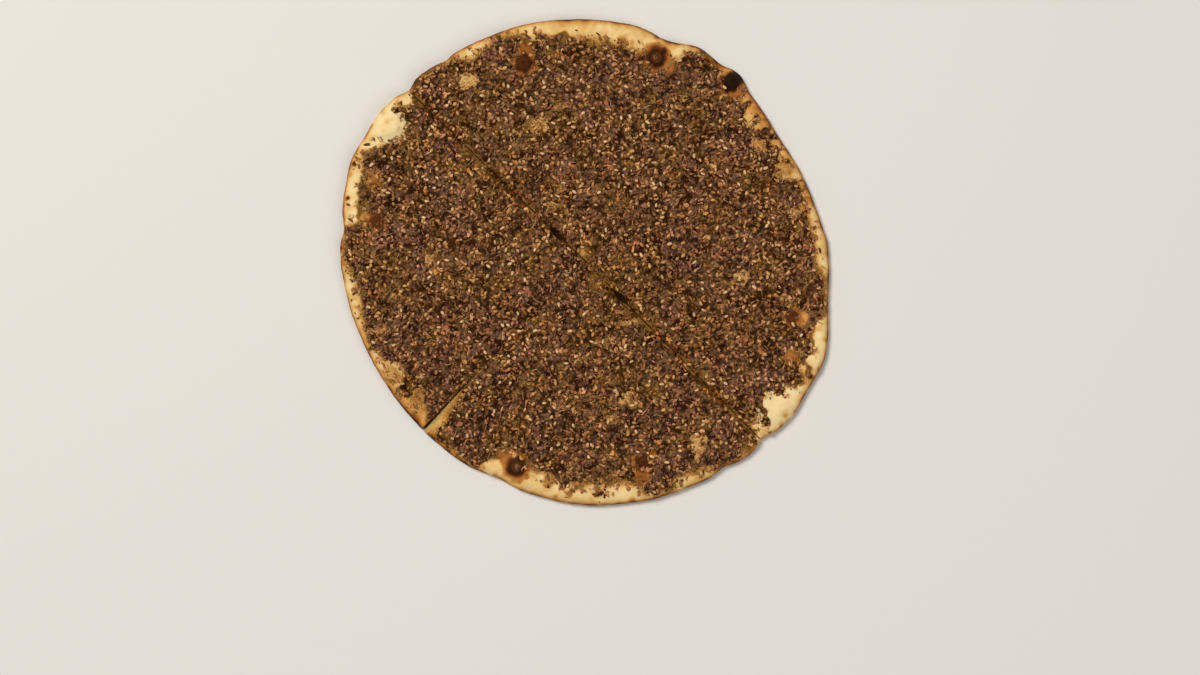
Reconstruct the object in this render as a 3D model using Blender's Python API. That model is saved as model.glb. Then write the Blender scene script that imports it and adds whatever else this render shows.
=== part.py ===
"""A za'atar flatbread: a thin round of baked dough with a blistered rim, spread with herb and sesame
topping, cut across twice and left together as four slices. Each slice is one solid of dough with
its own layer of topping on it. Seen from above, +X points right and +Y points up the picture.

Lengths are in millimetres and angles in degrees until a mesh is made, where MM turns them into metres.
"""
import math
import random

import bmesh
import bpy
from mathutils import Matrix, Vector
from mathutils.bvhtree import BVHTree
from mathutils.geometry import delaunay_2d_cdt

MM = 0.001

# The outline seen from above, round the point where the cuts cross. A wave is how many times it
# goes round, its amount and where it crests. A lobe is its angle, half-width and amount.
MEAN_RADIUS = 152.6
WAVES = ((2, 5.8, -41.0), (3, 1.1, -45.0), (4, 1.7, -24.0))
LOBES = (
    (5, 4, 1.2), (33, 7, -1.6), (51, 4, 4.2), (61, 4, 2.6), (70.5, 4.5, -2.8), (104, 8, 1.0),
    (125, 2, -1.8), (136, 2, -2.8), (145, 5, 1.6), (156.5, 5, 2.2), (172, 3, -2.8),
    (247.5, 5, -2.2), (270, 10, 1.8), (285, 8, 1.2), (304, 2.5, -2.2), (315, 2.5, -2.8),
    (324, 4, 1.4), (338, 6, 2.4), (351, 6, -1.8),
)
# Where the cuts cross, measured from the middle of the whole outline's box.
CROSSING = (0.82, 0.14)

# Dough: its thickness in the middle, the rim's edge, crest and inner slope, and the rounded underside.
MIDDLE_HEIGHT = 4.2
EDGE_HEIGHT = 2.4
CREST_HEIGHT = 5.8
CREST_GROWTH = 0.16
CREST_REACH = 4.0
CREST_WIDENING = 0.3
RIM_SLOPE = 16.0
UNDERCUT = 2.4
# Low swells over the whole top: radians for each millimetre along X and along Y, phase and amount.
SWELLS = (
    (0.043, 0.071, 0.9, 0.35), (-0.083, 0.039, 2.1, 0.3), (0.17, 0.11, 0.4, 0.18), (-0.12, 0.21, 1.3, 0.18),
)
SWELL_FADE = 12.0

# The bare rim's width by angle. The lower half of the bread repeats the twin places of the upper half.
TWIN_BARE_RIM = (
    (66, 11), (72, 13), (101, 12), (109, 3.5), (119, 8), (125.5, 2), (135, 2), (139, 12), (145, 20),
    (151, 13), (154, 7), (161, 13), (168, 13), (173, 2.5), (179, 3), (185, 8),
)
SINGLE_BARE_RIM = (
    (14, 6), (19, 4), (25, 13), (33, 6), (41, 17), (46, 8), (51, 13), (56, 2.5), (61, 2),
    (191, 8), (200, 4), (210, 13), (216, 6), (222, 9), (228, 2), (241, 2),
)

# Blisters and bubbles that stand up out of the topping, each an angle, its distance from the crossing,
# its half-width and its height.
TWIN_BLISTERS = (
    (65.5, 143, 5, 1.8), (71, 135, 7, 2.8), (80.5, 139, 4, 1.0), (107.5, 130.5, 7, 3.2), (123, 134.5, 8, 2.6),
    (145, 149, 11, 2.0), (158.5, 142, 7, 1.6), (169, 133, 5.5, 2.4), (108.6, 90, 4.5, 1.5), (178.5, 98, 4, 1.3),
)
SINGLE_BLISTERS = (
    (14, 134.5, 4.5, 1.3), (25.5, 138, 6, 1.8), (34, 129.5, 5, 1.8), (41, 135, 5.5, 1.6), (51, 144, 6.5, 3.6),
    (199, 136, 4.5, 1.7), (210, 141, 6, 1.5), (219, 134.5, 5.5, 2.0),
)

# The cuts, each a straight line from the crossing out to the rim. A slit is where one gapes a little,
# as its distance from the crossing, its half-length and how far each side draws back.
CUTS = {"upper_right": 40.5, "upper_left": 136.0, "lower_left": 225.5, "lower_right": 314.5}
SLICES = (
    ("top", "upper_right", "upper_left"),
    ("left", "upper_left", "lower_left"),
    ("bottom", "lower_left", "lower_right"),
    ("right", "lower_right", "upper_right"),
)
HALF_GAP = 0.45
SLITS = {"upper_left": (25.6, 6.0, 1.0), "lower_right": (31.0, 6.0, 1.0)}
GROOVE_DEPTH = 0.9
GROOVE_WIDTH = 3.0
# One slice's wall leans back from its cut past this distance, more and more to the rim.
LEANING_SLICE = "bottom"
LEANING_CUT = "lower_left"
LEAN_START = 95.0
LEAN_AT_RIM = 5.0

# Topping: a layer just clear of the dough, thinner at its free edge, with sesame seeds sunk into it.
TOPPING_GAP = 0.3
TOPPING_THICKNESS = 1.35
TOPPING_EDGE = 0.55
TOPPING_AT_CUT = 0.95
TOPPING_RELIEF = 0.3
SEED_LENGTH = 3.3
SEED_WIDTH = 1.9
SEED_THICKNESS = 1.1
SEED_RINGS = ((-0.45, 0.72), (0.42, 1.0))
SEED_SIDES = 5
SEED_LIFT = 0.12
SEED_SIZES = (0.94, 1.08)
SEEDS_PER_SLICE = 72
SEED_TRIES = 14
SEED_CLEARANCE = 3.6
SEED_STEEPEST = 0.8
RANDOM_SEED = 31

# How fine the faces are.
RIM_STEP = 5.0
TOPPING_STEP = 4.0
CUT_STEP = 14.0
FIELD_STEP = 15.0
CLOSEST = 2.6
CLOSEST_IN_FIELD = 9.3
BORDER_SHARE = 0.6
RIM_RINGS = (1.0, 0.28)
WIDE_BLISTER = 5.0
WIDE_BLISTER_RINGS = ((1.0, 8), (0.55, 5))
SMALL_BLISTER_RINGS = ((1.0, 6),)
MERGE = 1e-5

DOUGH_COLOUR = (0.62, 0.41, 0.17, 1)
TOPPING_COLOUR = (0.13, 0.065, 0.025, 1)


def smooth(t):
    t = min(1.0, max(0.0, t))
    return t * t * (3 - 2 * t)


def turn_between(angle, place):
    """The signed angle from a place round the rim, between -180 and 180."""
    return (angle - place + 180) % 360 - 180


def direction(angle):
    return Vector((math.cos(math.radians(angle)), math.sin(math.radians(angle))))


def twin(angle):
    """Where a place of the upper half comes again in the lower half: half a turn on, less a little."""
    return angle + 180.5 - 0.041 * (angle - 66)


BARE_RIM = sorted(
    [(angle % 360, width) for angle, width in SINGLE_BARE_RIM + TWIN_BARE_RIM]
    + [(twin(angle) % 360, width) for angle, width in TWIN_BARE_RIM]
)
BLISTERS = list(SINGLE_BLISTERS + TWIN_BLISTERS) + [(twin(angle), *rest) for angle, *rest in TWIN_BLISTERS]


def rim_radius(angle):
    radius = MEAN_RADIUS
    for count, amount, crest in WAVES:
        radius += amount * math.cos(math.radians(count * (angle - crest)))
    for place, half_width, amount in LOBES:
        radius += amount * math.exp(-(turn_between(angle, place) / half_width) ** 2)
    return radius


def bare_rim(angle):
    """How far the topping stops short of the rim, eased from one named width to the next."""
    angle %= 360
    last_angle, last_width = BARE_RIM[-1]
    first_angle, first_width = BARE_RIM[0]
    knots = [(last_angle - 360, last_width)] + BARE_RIM + [(first_angle + 360, first_width)]
    before = max(knot for knot in knots if knot[0] <= angle)
    after = min(knot for knot in knots if knot[0] > angle)
    return before[1] + (after[1] - before[1]) * smooth((angle - before[0]) / (after[0] - before[0]))


def crest_reach(angle):
    return CREST_REACH + CREST_WIDENING * bare_rim(angle)


def blister_share(point, blister):
    """1 at the blister's middle and 0 at its edge and past it."""
    angle, distance, half_width, _ = blister
    share = (point - distance * direction(angle)).length / half_width
    return max(0.0, 1 - share * share) ** 1.5


def cut_distance(point):
    """How far a point is from the nearest cut."""
    nearest = math.inf
    for angle in CUTS.values():
        ray = direction(angle)
        along = max(0.0, point.dot(ray))
        nearest = min(nearest, (point - along * ray).length)
    return nearest


def dough_height(point):
    angle = math.degrees(math.atan2(point.y, point.x))
    reach = rim_radius(angle) - point.length
    crest = CREST_HEIGHT + CREST_GROWTH * bare_rim(angle)
    wide = crest_reach(angle)
    if reach < wide:
        round_off = min(1.0, 1 - reach / wide)
        height = EDGE_HEIGHT + (crest - EDGE_HEIGHT) * math.sqrt(1 - round_off ** 2)
    else:
        height = crest + (MIDDLE_HEIGHT - crest) * smooth((reach - wide) / RIM_SLOPE)
    inside = smooth(reach / SWELL_FADE)
    for along_x, along_y, phase, amount in SWELLS:
        height += inside * amount * math.sin(along_x * point.x + along_y * point.y + phase)
    height += sum(blister[3] * blister_share(point, blister) for blister in BLISTERS)
    return height - GROOVE_DEPTH * inside * math.exp(-(cut_distance(point) / GROOVE_WIDTH) ** 2)


def half_gap(cut, distance):
    if cut not in SLITS:
        return HALF_GAP
    place, half_length, opening = SLITS[cut]
    return HALF_GAP + opening * max(0.0, 1 - ((distance - place) / half_length) ** 2) ** 2


def lean(slice_name, cut, distance):
    """How far the top of a slice's wall stands back from its foot."""
    if (slice_name, cut) != (LEANING_SLICE, LEANING_CUT):
        return 0.0
    rim = rim_radius(CUTS[cut])
    return LEAN_AT_RIM * smooth((distance - LEAN_START) / (rim - LEAN_START))


def cut_distances(cut):
    """How far out a cut wall has its points: along its slit, at its topping's end and at its rim."""
    rim = rim_radius(CUTS[cut])
    topping_end = rim - bare_rim(CUTS[cut])
    fixed = [topping_end, rim]
    if cut in SLITS:
        place, half_length, _ = SLITS[cut]
        fixed += [place + step * half_length / 2 for step in (-2, -1, 0, 1, 2)]
    count = round(topping_end / CUT_STEP)
    steady = [topping_end * step / count for step in range(1, count)]
    return sorted(fixed + [far for far in steady if all(abs(far - other) > CUT_STEP / 2 for other in fixed)])


def wall_points(slice_name, cut, side):
    """A cut wall's top edge from the crossing outwards; side is 1 on the cut's left and -1 on its right."""
    ray = direction(CUTS[cut])
    across = Vector((-ray.y, ray.x)) * side
    points = []
    for distance in cut_distances(cut):
        back = half_gap(cut, distance) + lean(slice_name, cut, distance)
        along = min(distance, math.sqrt(rim_radius(CUTS[cut]) ** 2 - back ** 2))
        points.append(along * ray + back * across)
    return points


def slice_outline(slice_name, first_cut, last_cut):
    """The slice's outline from above, counter-clockwise from its point, and the topping's outer edge."""
    first = wall_points(slice_name, first_cut, 1)
    last = wall_points(slice_name, last_cut, -1)
    opening = math.radians((CUTS[last_cut] - CUTS[first_cut]) % 360)
    middle = direction(CUTS[first_cut] + math.degrees(opening) / 2)
    tip = middle * HALF_GAP / math.sin(opening / 2)
    start = math.degrees(math.atan2(first[-1].y, first[-1].x))
    span = turn_between(math.degrees(math.atan2(last[-1].y, last[-1].x)), start)

    def arc(step, inset):
        count = round(span / step)
        angles = [start + span * index / count for index in range(1, count)]
        return [direction(angle) * (rim_radius(angle) - inset(angle)) for angle in angles]

    outline = [tip] + first + arc(RIM_STEP, lambda angle: 0.0) + last[::-1]
    topping_edge = [first[-2]] + arc(TOPPING_STEP, bare_rim) + [last[-2]]
    return outline, topping_edge


def inside_outline(point, outline):
    inside = False
    for a, b in zip(outline, outline[1:] + outline[:1]):
        if (a.y > point.y) != (b.y > point.y):
            if point.x < a.x + (point.y - a.y) * (b.x - a.x) / (b.y - a.y):
                inside = not inside
    return inside


def distance_to_chain(point, chain):
    nearest = math.inf
    for a, b in zip(chain, chain[1:]):
        edge = b - a
        along = min(1.0, max(0.0, (point - a).dot(edge) / edge.length_squared))
        nearest = min(nearest, (point - a - along * edge).length)
    return nearest


def slice_field(outline, topping_edge, first_cut, last_cut):
    """Points inside the outline that carry the shape: the rim's crest, the blisters, then an even field."""
    wanted = []
    span = (CUTS[last_cut] - CUTS[first_cut]) % 360
    for index in range(1, round(span / RIM_STEP)):
        angle = CUTS[first_cut] + span * index / round(span / RIM_STEP)
        for share in RIM_RINGS:
            wanted.append((direction(angle) * (rim_radius(angle) - share * crest_reach(angle)), CLOSEST))
    for angle, distance, half_width, _ in BLISTERS:
        middle = distance * direction(angle)
        wanted.append((middle, CLOSEST))
        for share, count in WIDE_BLISTER_RINGS if half_width >= WIDE_BLISTER else SMALL_BLISTER_RINGS:
            for index in range(count):
                wanted.append((middle + share * half_width * direction(360 * index / count), CLOSEST))
    row_step = FIELD_STEP * math.sqrt(3) / 2
    rows = math.ceil(MEAN_RADIUS / row_step) + 1
    for row in range(-rows, rows + 1):
        for column in range(-rows, rows + 1):
            shift = FIELD_STEP / 2 * (row % 2)
            wanted.append((Vector((column * FIELD_STEP + shift, row * row_step)), CLOSEST_IN_FIELD))
    kept = []
    border = outline + outline[:1]
    for point, spacing in wanted:
        if not inside_outline(point, outline) or distance_to_chain(point, border) < spacing * BORDER_SHARE:
            continue
        if distance_to_chain(point, topping_edge) < spacing * BORDER_SHARE:
            continue
        if all((point - other).length >= spacing for other in kept + outline + topping_edge):
            kept.append(point)
    return kept


def triangulate(outline, topping_edge, field):
    """Triangles over the slice that keep its outline and the topping's edge as sides."""
    points = outline + topping_edge[1:-1] + field
    chain = [outline.index(topping_edge[0])]
    chain += range(len(outline), len(outline) + len(topping_edge) - 2)
    chain.append(outline.index(topping_edge[-1]))
    inside_only = 1
    loop = list(range(len(outline)))
    result = delaunay_2d_cdt(points, list(zip(chain, chain[1:])), [loop], inside_only, MERGE)
    return result[0], [tuple(face) for face in result[2]]


def covered(point):
    """True where topping lies on the dough."""
    angle = math.degrees(math.atan2(point.y, point.x))
    if point.length > rim_radius(angle) - bare_rim(angle):
        return False
    return all(blister_share(point, blister) <= 0 for blister in BLISTERS)


def neighbours_by_edge(faces):
    edges = {}
    for face in faces:
        for a, b in zip(face, face[1:] + face[:1]):
            edges.setdefault(frozenset((a, b)), []).append(face)
    return edges


def connected_groups(faces, edges, through=None):
    """Groups of faces that share edges; with a point given, only edges at that point count."""
    left = set(faces)
    groups = []
    while left:
        stack = [left.pop()]
        group = list(stack)
        while stack:
            face = stack.pop()
            for a, b in zip(face, face[1:] + face[:1]):
                if through is not None and through not in (a, b):
                    continue
                for other in edges[frozenset((a, b))]:
                    if other in left:
                        left.remove(other)
                        stack.append(other)
                        group.append(other)
        groups.append(group)
    return sorted(groups, key=len, reverse=True)


def topping_faces(points, faces):
    """The triangles under the topping, as one patch that nowhere meets itself at a single point."""
    chosen = [face for face in faces if covered(sum((points[i] for i in face), Vector((0, 0))) / 3)]
    while True:
        edges = neighbours_by_edge(chosen)
        chosen = connected_groups(chosen, edges)[0]
        around = {}
        for face in chosen:
            for corner in face:
                around.setdefault(corner, []).append(face)
        spare = set()
        for corner, ring in around.items():
            for group in connected_groups(ring, edges, through=corner)[1:]:
                spare.update(group)
        if not spare:
            return chosen
        chosen = [face for face in chosen if face not in spare]


def place(point, height):
    return Vector((point.x + CROSSING[0], point.y + CROSSING[1], height)) * MM


def make_object(name, shape, material, parent):
    mesh = bpy.data.meshes.new(name)
    bmesh.ops.recalc_face_normals(shape, faces=shape.faces)
    bmesh.ops.triangulate(shape, faces=shape.faces)
    shape.to_mesh(mesh)
    shape.free()
    mesh.materials.append(material)
    thing = bpy.data.objects.new(name, mesh)
    thing.parent = parent
    bpy.context.scene.collection.objects.link(thing)
    return thing


def foot_of(point, slice_name):
    """Where a point of the slice's top edge comes down to: in under the rim, and out to the cut."""
    foot = point.copy()
    if slice_name == LEANING_SLICE:
        ray = direction(CUTS[LEANING_CUT])
        across = Vector((-ray.y, ray.x))
        along = foot.dot(ray)
        if 0 < foot.dot(across) < LEAN_AT_RIM + 2 * HALF_GAP and along > LEAN_START:
            foot = along * ray + half_gap(LEANING_CUT, along) * across
    angle = math.degrees(math.atan2(foot.y, foot.x))
    most = rim_radius(angle) - UNDERCUT
    if foot.length > most:
        foot *= most / foot.length
    return foot


def make_dough(slice_name, points, faces, material, parent):
    """The slice's dough: its modelled top, walls down to the foot, and a flat base."""
    shape = bmesh.new()
    top = [shape.verts.new(place(point, dough_height(point))) for point in points]
    for face in faces:
        shape.faces.new([top[index] for index in face])
    border = [edge for edge in shape.edges if edge.is_boundary]
    sides = bmesh.ops.extrude_edge_only(shape, edges=border)["geom"]
    for vert in (part for part in sides if isinstance(part, bmesh.types.BMVert)):
        flat = Vector((vert.co.x / MM - CROSSING[0], vert.co.y / MM - CROSSING[1]))
        vert.co = place(foot_of(flat, slice_name), 0.0)
    foot_edges = [edge for edge in shape.edges if edge.is_boundary]
    bmesh.ops.triangle_fill(shape, edges=foot_edges, use_beauty=True)
    return make_object("dough_" + slice_name, shape, material, parent)


def make_topping(slice_name, points, faces, rules, material, parent):
    """The slice's topping: the dough's own triangles lifted clear of it, closed by a rougher top."""
    used = sorted({index for face in faces for index in face})
    counts = {}
    for face in faces:
        for a, b in zip(face, face[1:] + face[:1]):
            counts[frozenset((a, b))] = counts.get(frozenset((a, b)), 0) + 1
    free_edge = {index for pair, count in counts.items() if count == 1 for index in pair}
    shape = bmesh.new()
    low = {}
    high = {}
    for index in used:
        point = points[index]
        rest = dough_height(point) + TOPPING_GAP
        thickness = TOPPING_THICKNESS + rules.uniform(-1, 1) * TOPPING_RELIEF
        if index in free_edge:
            thickness = TOPPING_AT_CUT if cut_distance(point) < LEAN_AT_RIM else TOPPING_EDGE
        low[index] = shape.verts.new(place(point, rest))
        high[index] = shape.verts.new(place(point, rest + thickness))
    for face in faces:
        shape.faces.new([high[index] for index in face])
        shape.faces.new([low[index] for index in reversed(face)])
        for a, b in zip(face, face[1:] + face[:1]):
            if counts[frozenset((a, b))] == 1:
                shape.faces.new([low[a], low[b], high[b], high[a]])
    edge_chain = [points[index] for index in free_edge]
    return make_object("topping_" + slice_name, shape, material, parent), edge_chain


def seed_shape():
    """One sesame seed lying along X: a flat drop, with a narrower ring towards its pointed end."""
    shape = bmesh.new()
    rings = []
    for share, fullness in SEED_RINGS:
        ring = []
        for index in range(SEED_SIDES):
            turn = direction(360 * (index + 0.5) / SEED_SIDES)
            across = turn.x * fullness * SEED_WIDTH / 2
            up = turn.y * fullness * SEED_THICKNESS / 2
            ring.append(shape.verts.new(Vector((share * SEED_LENGTH / 2, across, up)) * MM))
        rings.append(ring)
    tips = [shape.verts.new(Vector((end * SEED_LENGTH / 2, 0, 0)) * MM) for end in (-1, 1)]
    for index in range(SEED_SIDES):
        onward = (index + 1) % SEED_SIDES
        shape.faces.new((rings[0][index], rings[1][index], rings[1][onward], rings[0][onward]))
        shape.faces.new((tips[0], rings[0][index], rings[0][onward]))
        shape.faces.new((tips[1], rings[1][onward], rings[1][index]))
    bmesh.ops.recalc_face_normals(shape, faces=shape.faces)
    mesh = bpy.data.meshes.new("sesame_seed")
    shape.to_mesh(mesh)
    shape.free()
    return mesh


def seed_places(topping, edge_chain, rules):
    """Places for the seeds, each the farthest from the others out of a few tries, clear of every edge."""
    surface = BVHTree.FromObject(topping, bpy.context.evaluated_depsgraph_get())
    reach = MEAN_RADIUS + 10
    chosen = []
    tries = []
    above = 5 * MIDDLE_HEIGHT
    while len(tries) < SEEDS_PER_SLICE * SEED_TRIES:
        flat = Vector((rules.uniform(-reach, reach), rules.uniform(-reach, reach)))
        hit, normal, _, _ = surface.ray_cast(place(flat, above), Vector((0, 0, -1)))
        if hit is None or normal.z < SEED_STEEPEST:
            continue
        if min((flat - other).length for other in edge_chain) < SEED_CLEARANCE:
            continue
        if cut_distance(flat) < SEED_CLEARANCE + lean_room(flat):
            continue
        if all((flat - d * direction(a)).length > w + SEED_CLEARANCE / 2 for a, d, w, _ in BLISTERS):
            tries.append((flat, hit, normal))
    chosen.append(tries.pop())
    while len(chosen) < SEEDS_PER_SLICE:
        best = max(tries, key=lambda spot: min((spot[0] - other[0]).length for other in chosen))
        chosen.append(best)
        tries.remove(best)
    return chosen


def lean_room(point):
    """The extra room that the leaning wall takes beside its cut."""
    ray = direction(CUTS[LEANING_CUT])
    across = point.dot(Vector((-ray.y, ray.x)))
    return LEAN_AT_RIM if point.dot(ray) > LEAN_START and 0 < across < 4 * LEAN_AT_RIM else 0.0


def fuse_seeds(topping, edge_chain, rules):
    """Sesame seeds set half into the topping and joined to it by one union."""
    seed_mesh = seed_shape()
    helpers = bpy.data.collections.new("seeds_" + topping.name)
    bpy.context.scene.collection.children.link(helpers)
    for _, hit, normal in seed_places(topping, edge_chain, rules):
        seed = bpy.data.objects.new("seed", seed_mesh)
        lie = Vector((0, 0, 1)).rotation_difference(normal).to_matrix().to_4x4()
        spin = Matrix.Rotation(rules.uniform(0, 2 * math.pi), 4, "Z")
        size = Matrix.Scale(rules.uniform(*SEED_SIZES), 4)
        seed.matrix_world = Matrix.Translation(hit + normal * SEED_LIFT * MM) @ lie @ spin @ size
        helpers.objects.link(seed)
    union = topping.modifiers.new("seeds", "BOOLEAN")
    union.operation = "UNION"
    union.operand_type = "COLLECTION"
    union.collection = helpers
    union.solver = "EXACT"
    bpy.context.view_layer.update()
    evaluated = topping.evaluated_get(bpy.context.evaluated_depsgraph_get())
    joined = bpy.data.meshes.new_from_object(evaluated)
    topping.modifiers.remove(union)
    joined.materials.clear()
    joined.materials.append(topping.data.materials[0])
    topping.data = joined
    for seed in list(helpers.objects):
        bpy.data.objects.remove(seed)
    bpy.data.collections.remove(helpers)
    bpy.data.meshes.remove(seed_mesh)


def make_material(name, colour, roughness):
    material = bpy.data.materials.new(name)
    material.use_nodes = True
    shader = material.node_tree.nodes["Principled BSDF"]
    shader.inputs["Base Color"].default_value = colour
    shader.inputs["Roughness"].default_value = roughness
    shader.inputs["Metallic"].default_value = 0.0
    return material


def make_slice(slice_name, first_cut, last_cut, materials, parent, rules):
    outline, topping_edge = slice_outline(slice_name, first_cut, last_cut)
    field = slice_field(outline, topping_edge, first_cut, last_cut)
    points, faces = triangulate(outline, topping_edge, field)
    make_dough(slice_name, points, faces, materials["dough"], parent)
    laid = topping_faces(points, faces)
    topping, edge_chain = make_topping(slice_name, points, laid, rules, materials["topping"], parent)
    fuse_seeds(topping, edge_chain, rules)


def main():
    for thing in list(bpy.data.objects):
        bpy.data.objects.remove(thing)
    rules = random.Random(RANDOM_SEED)
    whole = bpy.data.objects.new("flatbread", None)
    bpy.context.scene.collection.objects.link(whole)
    materials = {
        "dough": make_material("baked_dough", DOUGH_COLOUR, 0.7),
        "topping": make_material("zaatar", TOPPING_COLOUR, 0.6),
    }
    for slice_name, first_cut, last_cut in SLICES:
        make_slice(slice_name, first_cut, last_cut, materials, whole, rules)


main()
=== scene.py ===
# %% [markdown]
# # A za'atar flatbread, from solids to a finished look
#
# The bread is a thin round of baked dough under a rough layer of herbs, sesame and oil, cut across
# twice and left lying together as four slices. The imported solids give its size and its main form.
# This lesson dresses them: a fine crust for each slice, a crumbly layer of topping on it, and
# thousands of loose seeds and leaf bits on top.
#
# The frame is loaded first, because every later piece takes its place from it. Sizes are kept in
# millimetres, as a baker would measure them, and turned into metres only when a mesh is made.

import collections
import functools
import math

import bmesh
import bpy
import numpy as np
from mathutils import Matrix, Vector
from mathutils.geometry import delaunay_2d_cdt


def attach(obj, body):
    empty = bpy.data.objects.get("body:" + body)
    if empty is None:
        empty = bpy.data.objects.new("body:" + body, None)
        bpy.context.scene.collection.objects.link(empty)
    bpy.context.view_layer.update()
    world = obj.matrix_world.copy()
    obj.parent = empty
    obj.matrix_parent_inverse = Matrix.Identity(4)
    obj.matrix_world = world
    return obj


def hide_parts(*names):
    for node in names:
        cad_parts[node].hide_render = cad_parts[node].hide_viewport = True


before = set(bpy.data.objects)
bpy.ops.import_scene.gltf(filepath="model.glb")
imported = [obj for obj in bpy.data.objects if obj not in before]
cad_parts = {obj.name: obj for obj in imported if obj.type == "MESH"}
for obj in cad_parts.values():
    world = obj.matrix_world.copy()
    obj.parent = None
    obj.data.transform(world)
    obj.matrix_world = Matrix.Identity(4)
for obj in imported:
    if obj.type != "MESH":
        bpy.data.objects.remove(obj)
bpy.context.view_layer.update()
MM = 0.001
SLICE_NAMES = ("top", "left", "bottom", "right")
print("solids in the frame:", sorted(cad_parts))

# %% [markdown]
# ## Camera, light and floor
#
# The bread is seen from straight above, so the camera hangs over it and looks down. A long lens from
# nearly two metres keeps the blisters upright, where a short lens would lean them outwards.
#
# One large soft lamp at the upper left models the crust and the seeds, a weak one opposite opens the
# shadows, and a pale surround lights the rest. The lamps are bright enough for a white sheet to come
# out just white, so a surface shows about the colour that it is given.

# %% Camera
PICTURE_WIDTH = 0.75
LENS = 85.0
SENSOR = 36.0
BREAD_HEIGHT = 0.006
PICTURE_MIDDLE = (0.0096, -0.0471)

camera = bpy.data.objects.new("camera", bpy.data.cameras.new("camera"))
camera.data.lens = LENS
camera.data.sensor_width = SENSOR
camera.location = (*PICTURE_MIDDLE, PICTURE_WIDTH * LENS / SENSOR + BREAD_HEIGHT)
bpy.context.scene.collection.objects.link(camera)
bpy.context.scene.camera = camera
bpy.context.scene.view_settings.view_transform = "Standard"
print("camera hangs at", round(camera.location.z, 3), "m")

# %% Light and surround
KEY = {"place": (-1.5, 1.35, 3.0), "size": 1.3, "watts": 103.0, "colour": (1.0, 0.965, 0.90)}
FILL = {"place": (2.0, -1.6, 2.0), "size": 2.0, "watts": 32.0, "colour": (1.0, 0.97, 0.92)}
SURROUND = (0.21, 0.203, 0.19, 1.0)


def soft_lamp(name, lamp):
    light = bpy.data.lights.new(name, "AREA")
    light.size = lamp["size"]
    light.energy = lamp["watts"]
    light.color = lamp["colour"]
    thing = bpy.data.objects.new(name, light)
    thing.location = lamp["place"]
    thing.rotation_euler = (-Vector(lamp["place"])).to_track_quat("-Z", "Y").to_euler()
    bpy.context.scene.collection.objects.link(thing)


soft_lamp("key_lamp", KEY)
soft_lamp("fill_lamp", FILL)
surround = bpy.data.worlds.new("surround")
surround.use_nodes = True
surround.node_tree.nodes["Background"].inputs["Color"].default_value = SURROUND
bpy.context.scene.world = surround
print("lamps:", KEY["watts"], "and", FILL["watts"], "watts")

# %% [markdown]
# ## Building materials from nodes
#
# Colours are easiest to name as they look on a screen, from 0 to 255, but the shader wants them in
# linear light, so one small function turns them. A few more helpers add a node, blend two colours and
# spread a number over a strip of colours. They keep each material short enough to read.

# %% Helpers for colours and nodes
def tint(*levels):
    """A colour as it looks on a screen, from 0 to 255, in the linear values that a shader wants."""
    shares = [level / 255 for level in levels]
    linear = [share / 12.92 if share < 0.0405 else ((share + 0.055) / 1.055) ** 2.4 for share in shares]
    return (*linear, 1.0)


def add(tree, kind, sockets=None, **settings):
    """Adds a node. A socket is given a value, or another node's output to link from."""
    node = tree.nodes.new(kind)
    for name, value in settings.items():
        setattr(node, name, value)
    for name, value in (sockets or {}).items():
        if isinstance(value, bpy.types.NodeSocket):
            tree.links.new(value, node.inputs[name])
        else:
            node.inputs[name].default_value = value
    return node


def plus(tree, first, second, operation="ADD", clamp=False):
    """A Math node. It adds unless another operation is named."""
    return add(tree, "ShaderNodeMath", {0: first, 1: second}, operation=operation, use_clamp=clamp).outputs[0]


def times(tree, first, second):
    return plus(tree, first, second, "MULTIPLY")


def minus(tree, first, second, clamp=False):
    return plus(tree, first, second, "SUBTRACT", clamp)


def moved_by(tree, value, tone):
    """A number moved up or down by as much as a tone is off a half."""
    return plus(tree, value, minus(tree, tone, 0.5))


def blend(tree, share, first, second, blend_type="MIX"):
    sockets = {0: share, 6: first, 7: second}
    return add(tree, "ShaderNodeMix", sockets, data_type="RGBA", blend_type=blend_type).outputs[2]


def strip(tree, value, stops, interpolation="LINEAR"):
    """Spreads a number from 0 to 1 over a strip of colours, each with its place."""
    node = add(tree, "ShaderNodeValToRGB", {"Fac": value})
    node.color_ramp.interpolation = interpolation
    elements = node.color_ramp.elements
    while len(elements) < len(stops):
        elements.new(1.0)
    for element, (place, colour) in zip(elements, stops):
        element.position = place
        element.color = colour
    return node.outputs["Color"]


def spread(tree, value, low, high, to_low=0.0, to_high=1.0):
    """Moves the numbers between low and high to a new range and holds them there."""
    sockets = {"Value": value, "From Min": low, "From Max": high, "To Min": to_low, "To Max": to_high}
    return add(tree, "ShaderNodeMapRange", sockets).outputs["Result"]


print("a pale crust is", [round(c, 2) for c in tint(222, 186, 117)[:3]], "in linear light")


# %% Starting a material and a node group
def new_material(name, roughness, specular, gloss_tint=(1, 1, 1, 1)):
    material = bpy.data.materials.new(name)
    material.use_nodes = True
    shader = material.node_tree.nodes["Principled BSDF"]
    shader.inputs["Roughness"].default_value = roughness
    shader.inputs["Specular IOR Level"].default_value = specular
    shader.inputs["Specular Tint"].default_value = gloss_tint
    return material, material.node_tree, shader


def new_group(name, inputs, outputs):
    """A shader node group with named number or colour sockets, and its two end nodes."""
    tree = bpy.data.node_groups.new(name, "ShaderNodeTree")
    for label, kind, value in inputs:
        socket = tree.interface.new_socket(label, in_out="INPUT", socket_type="NodeSocket" + kind)
        socket.default_value = value
    for label, kind in outputs:
        tree.interface.new_socket(label, in_out="OUTPUT", socket_type="NodeSocket" + kind)
    return tree, tree.nodes.new("NodeGroupInput").outputs, tree.nodes.new("NodeGroupOutput").inputs


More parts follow.
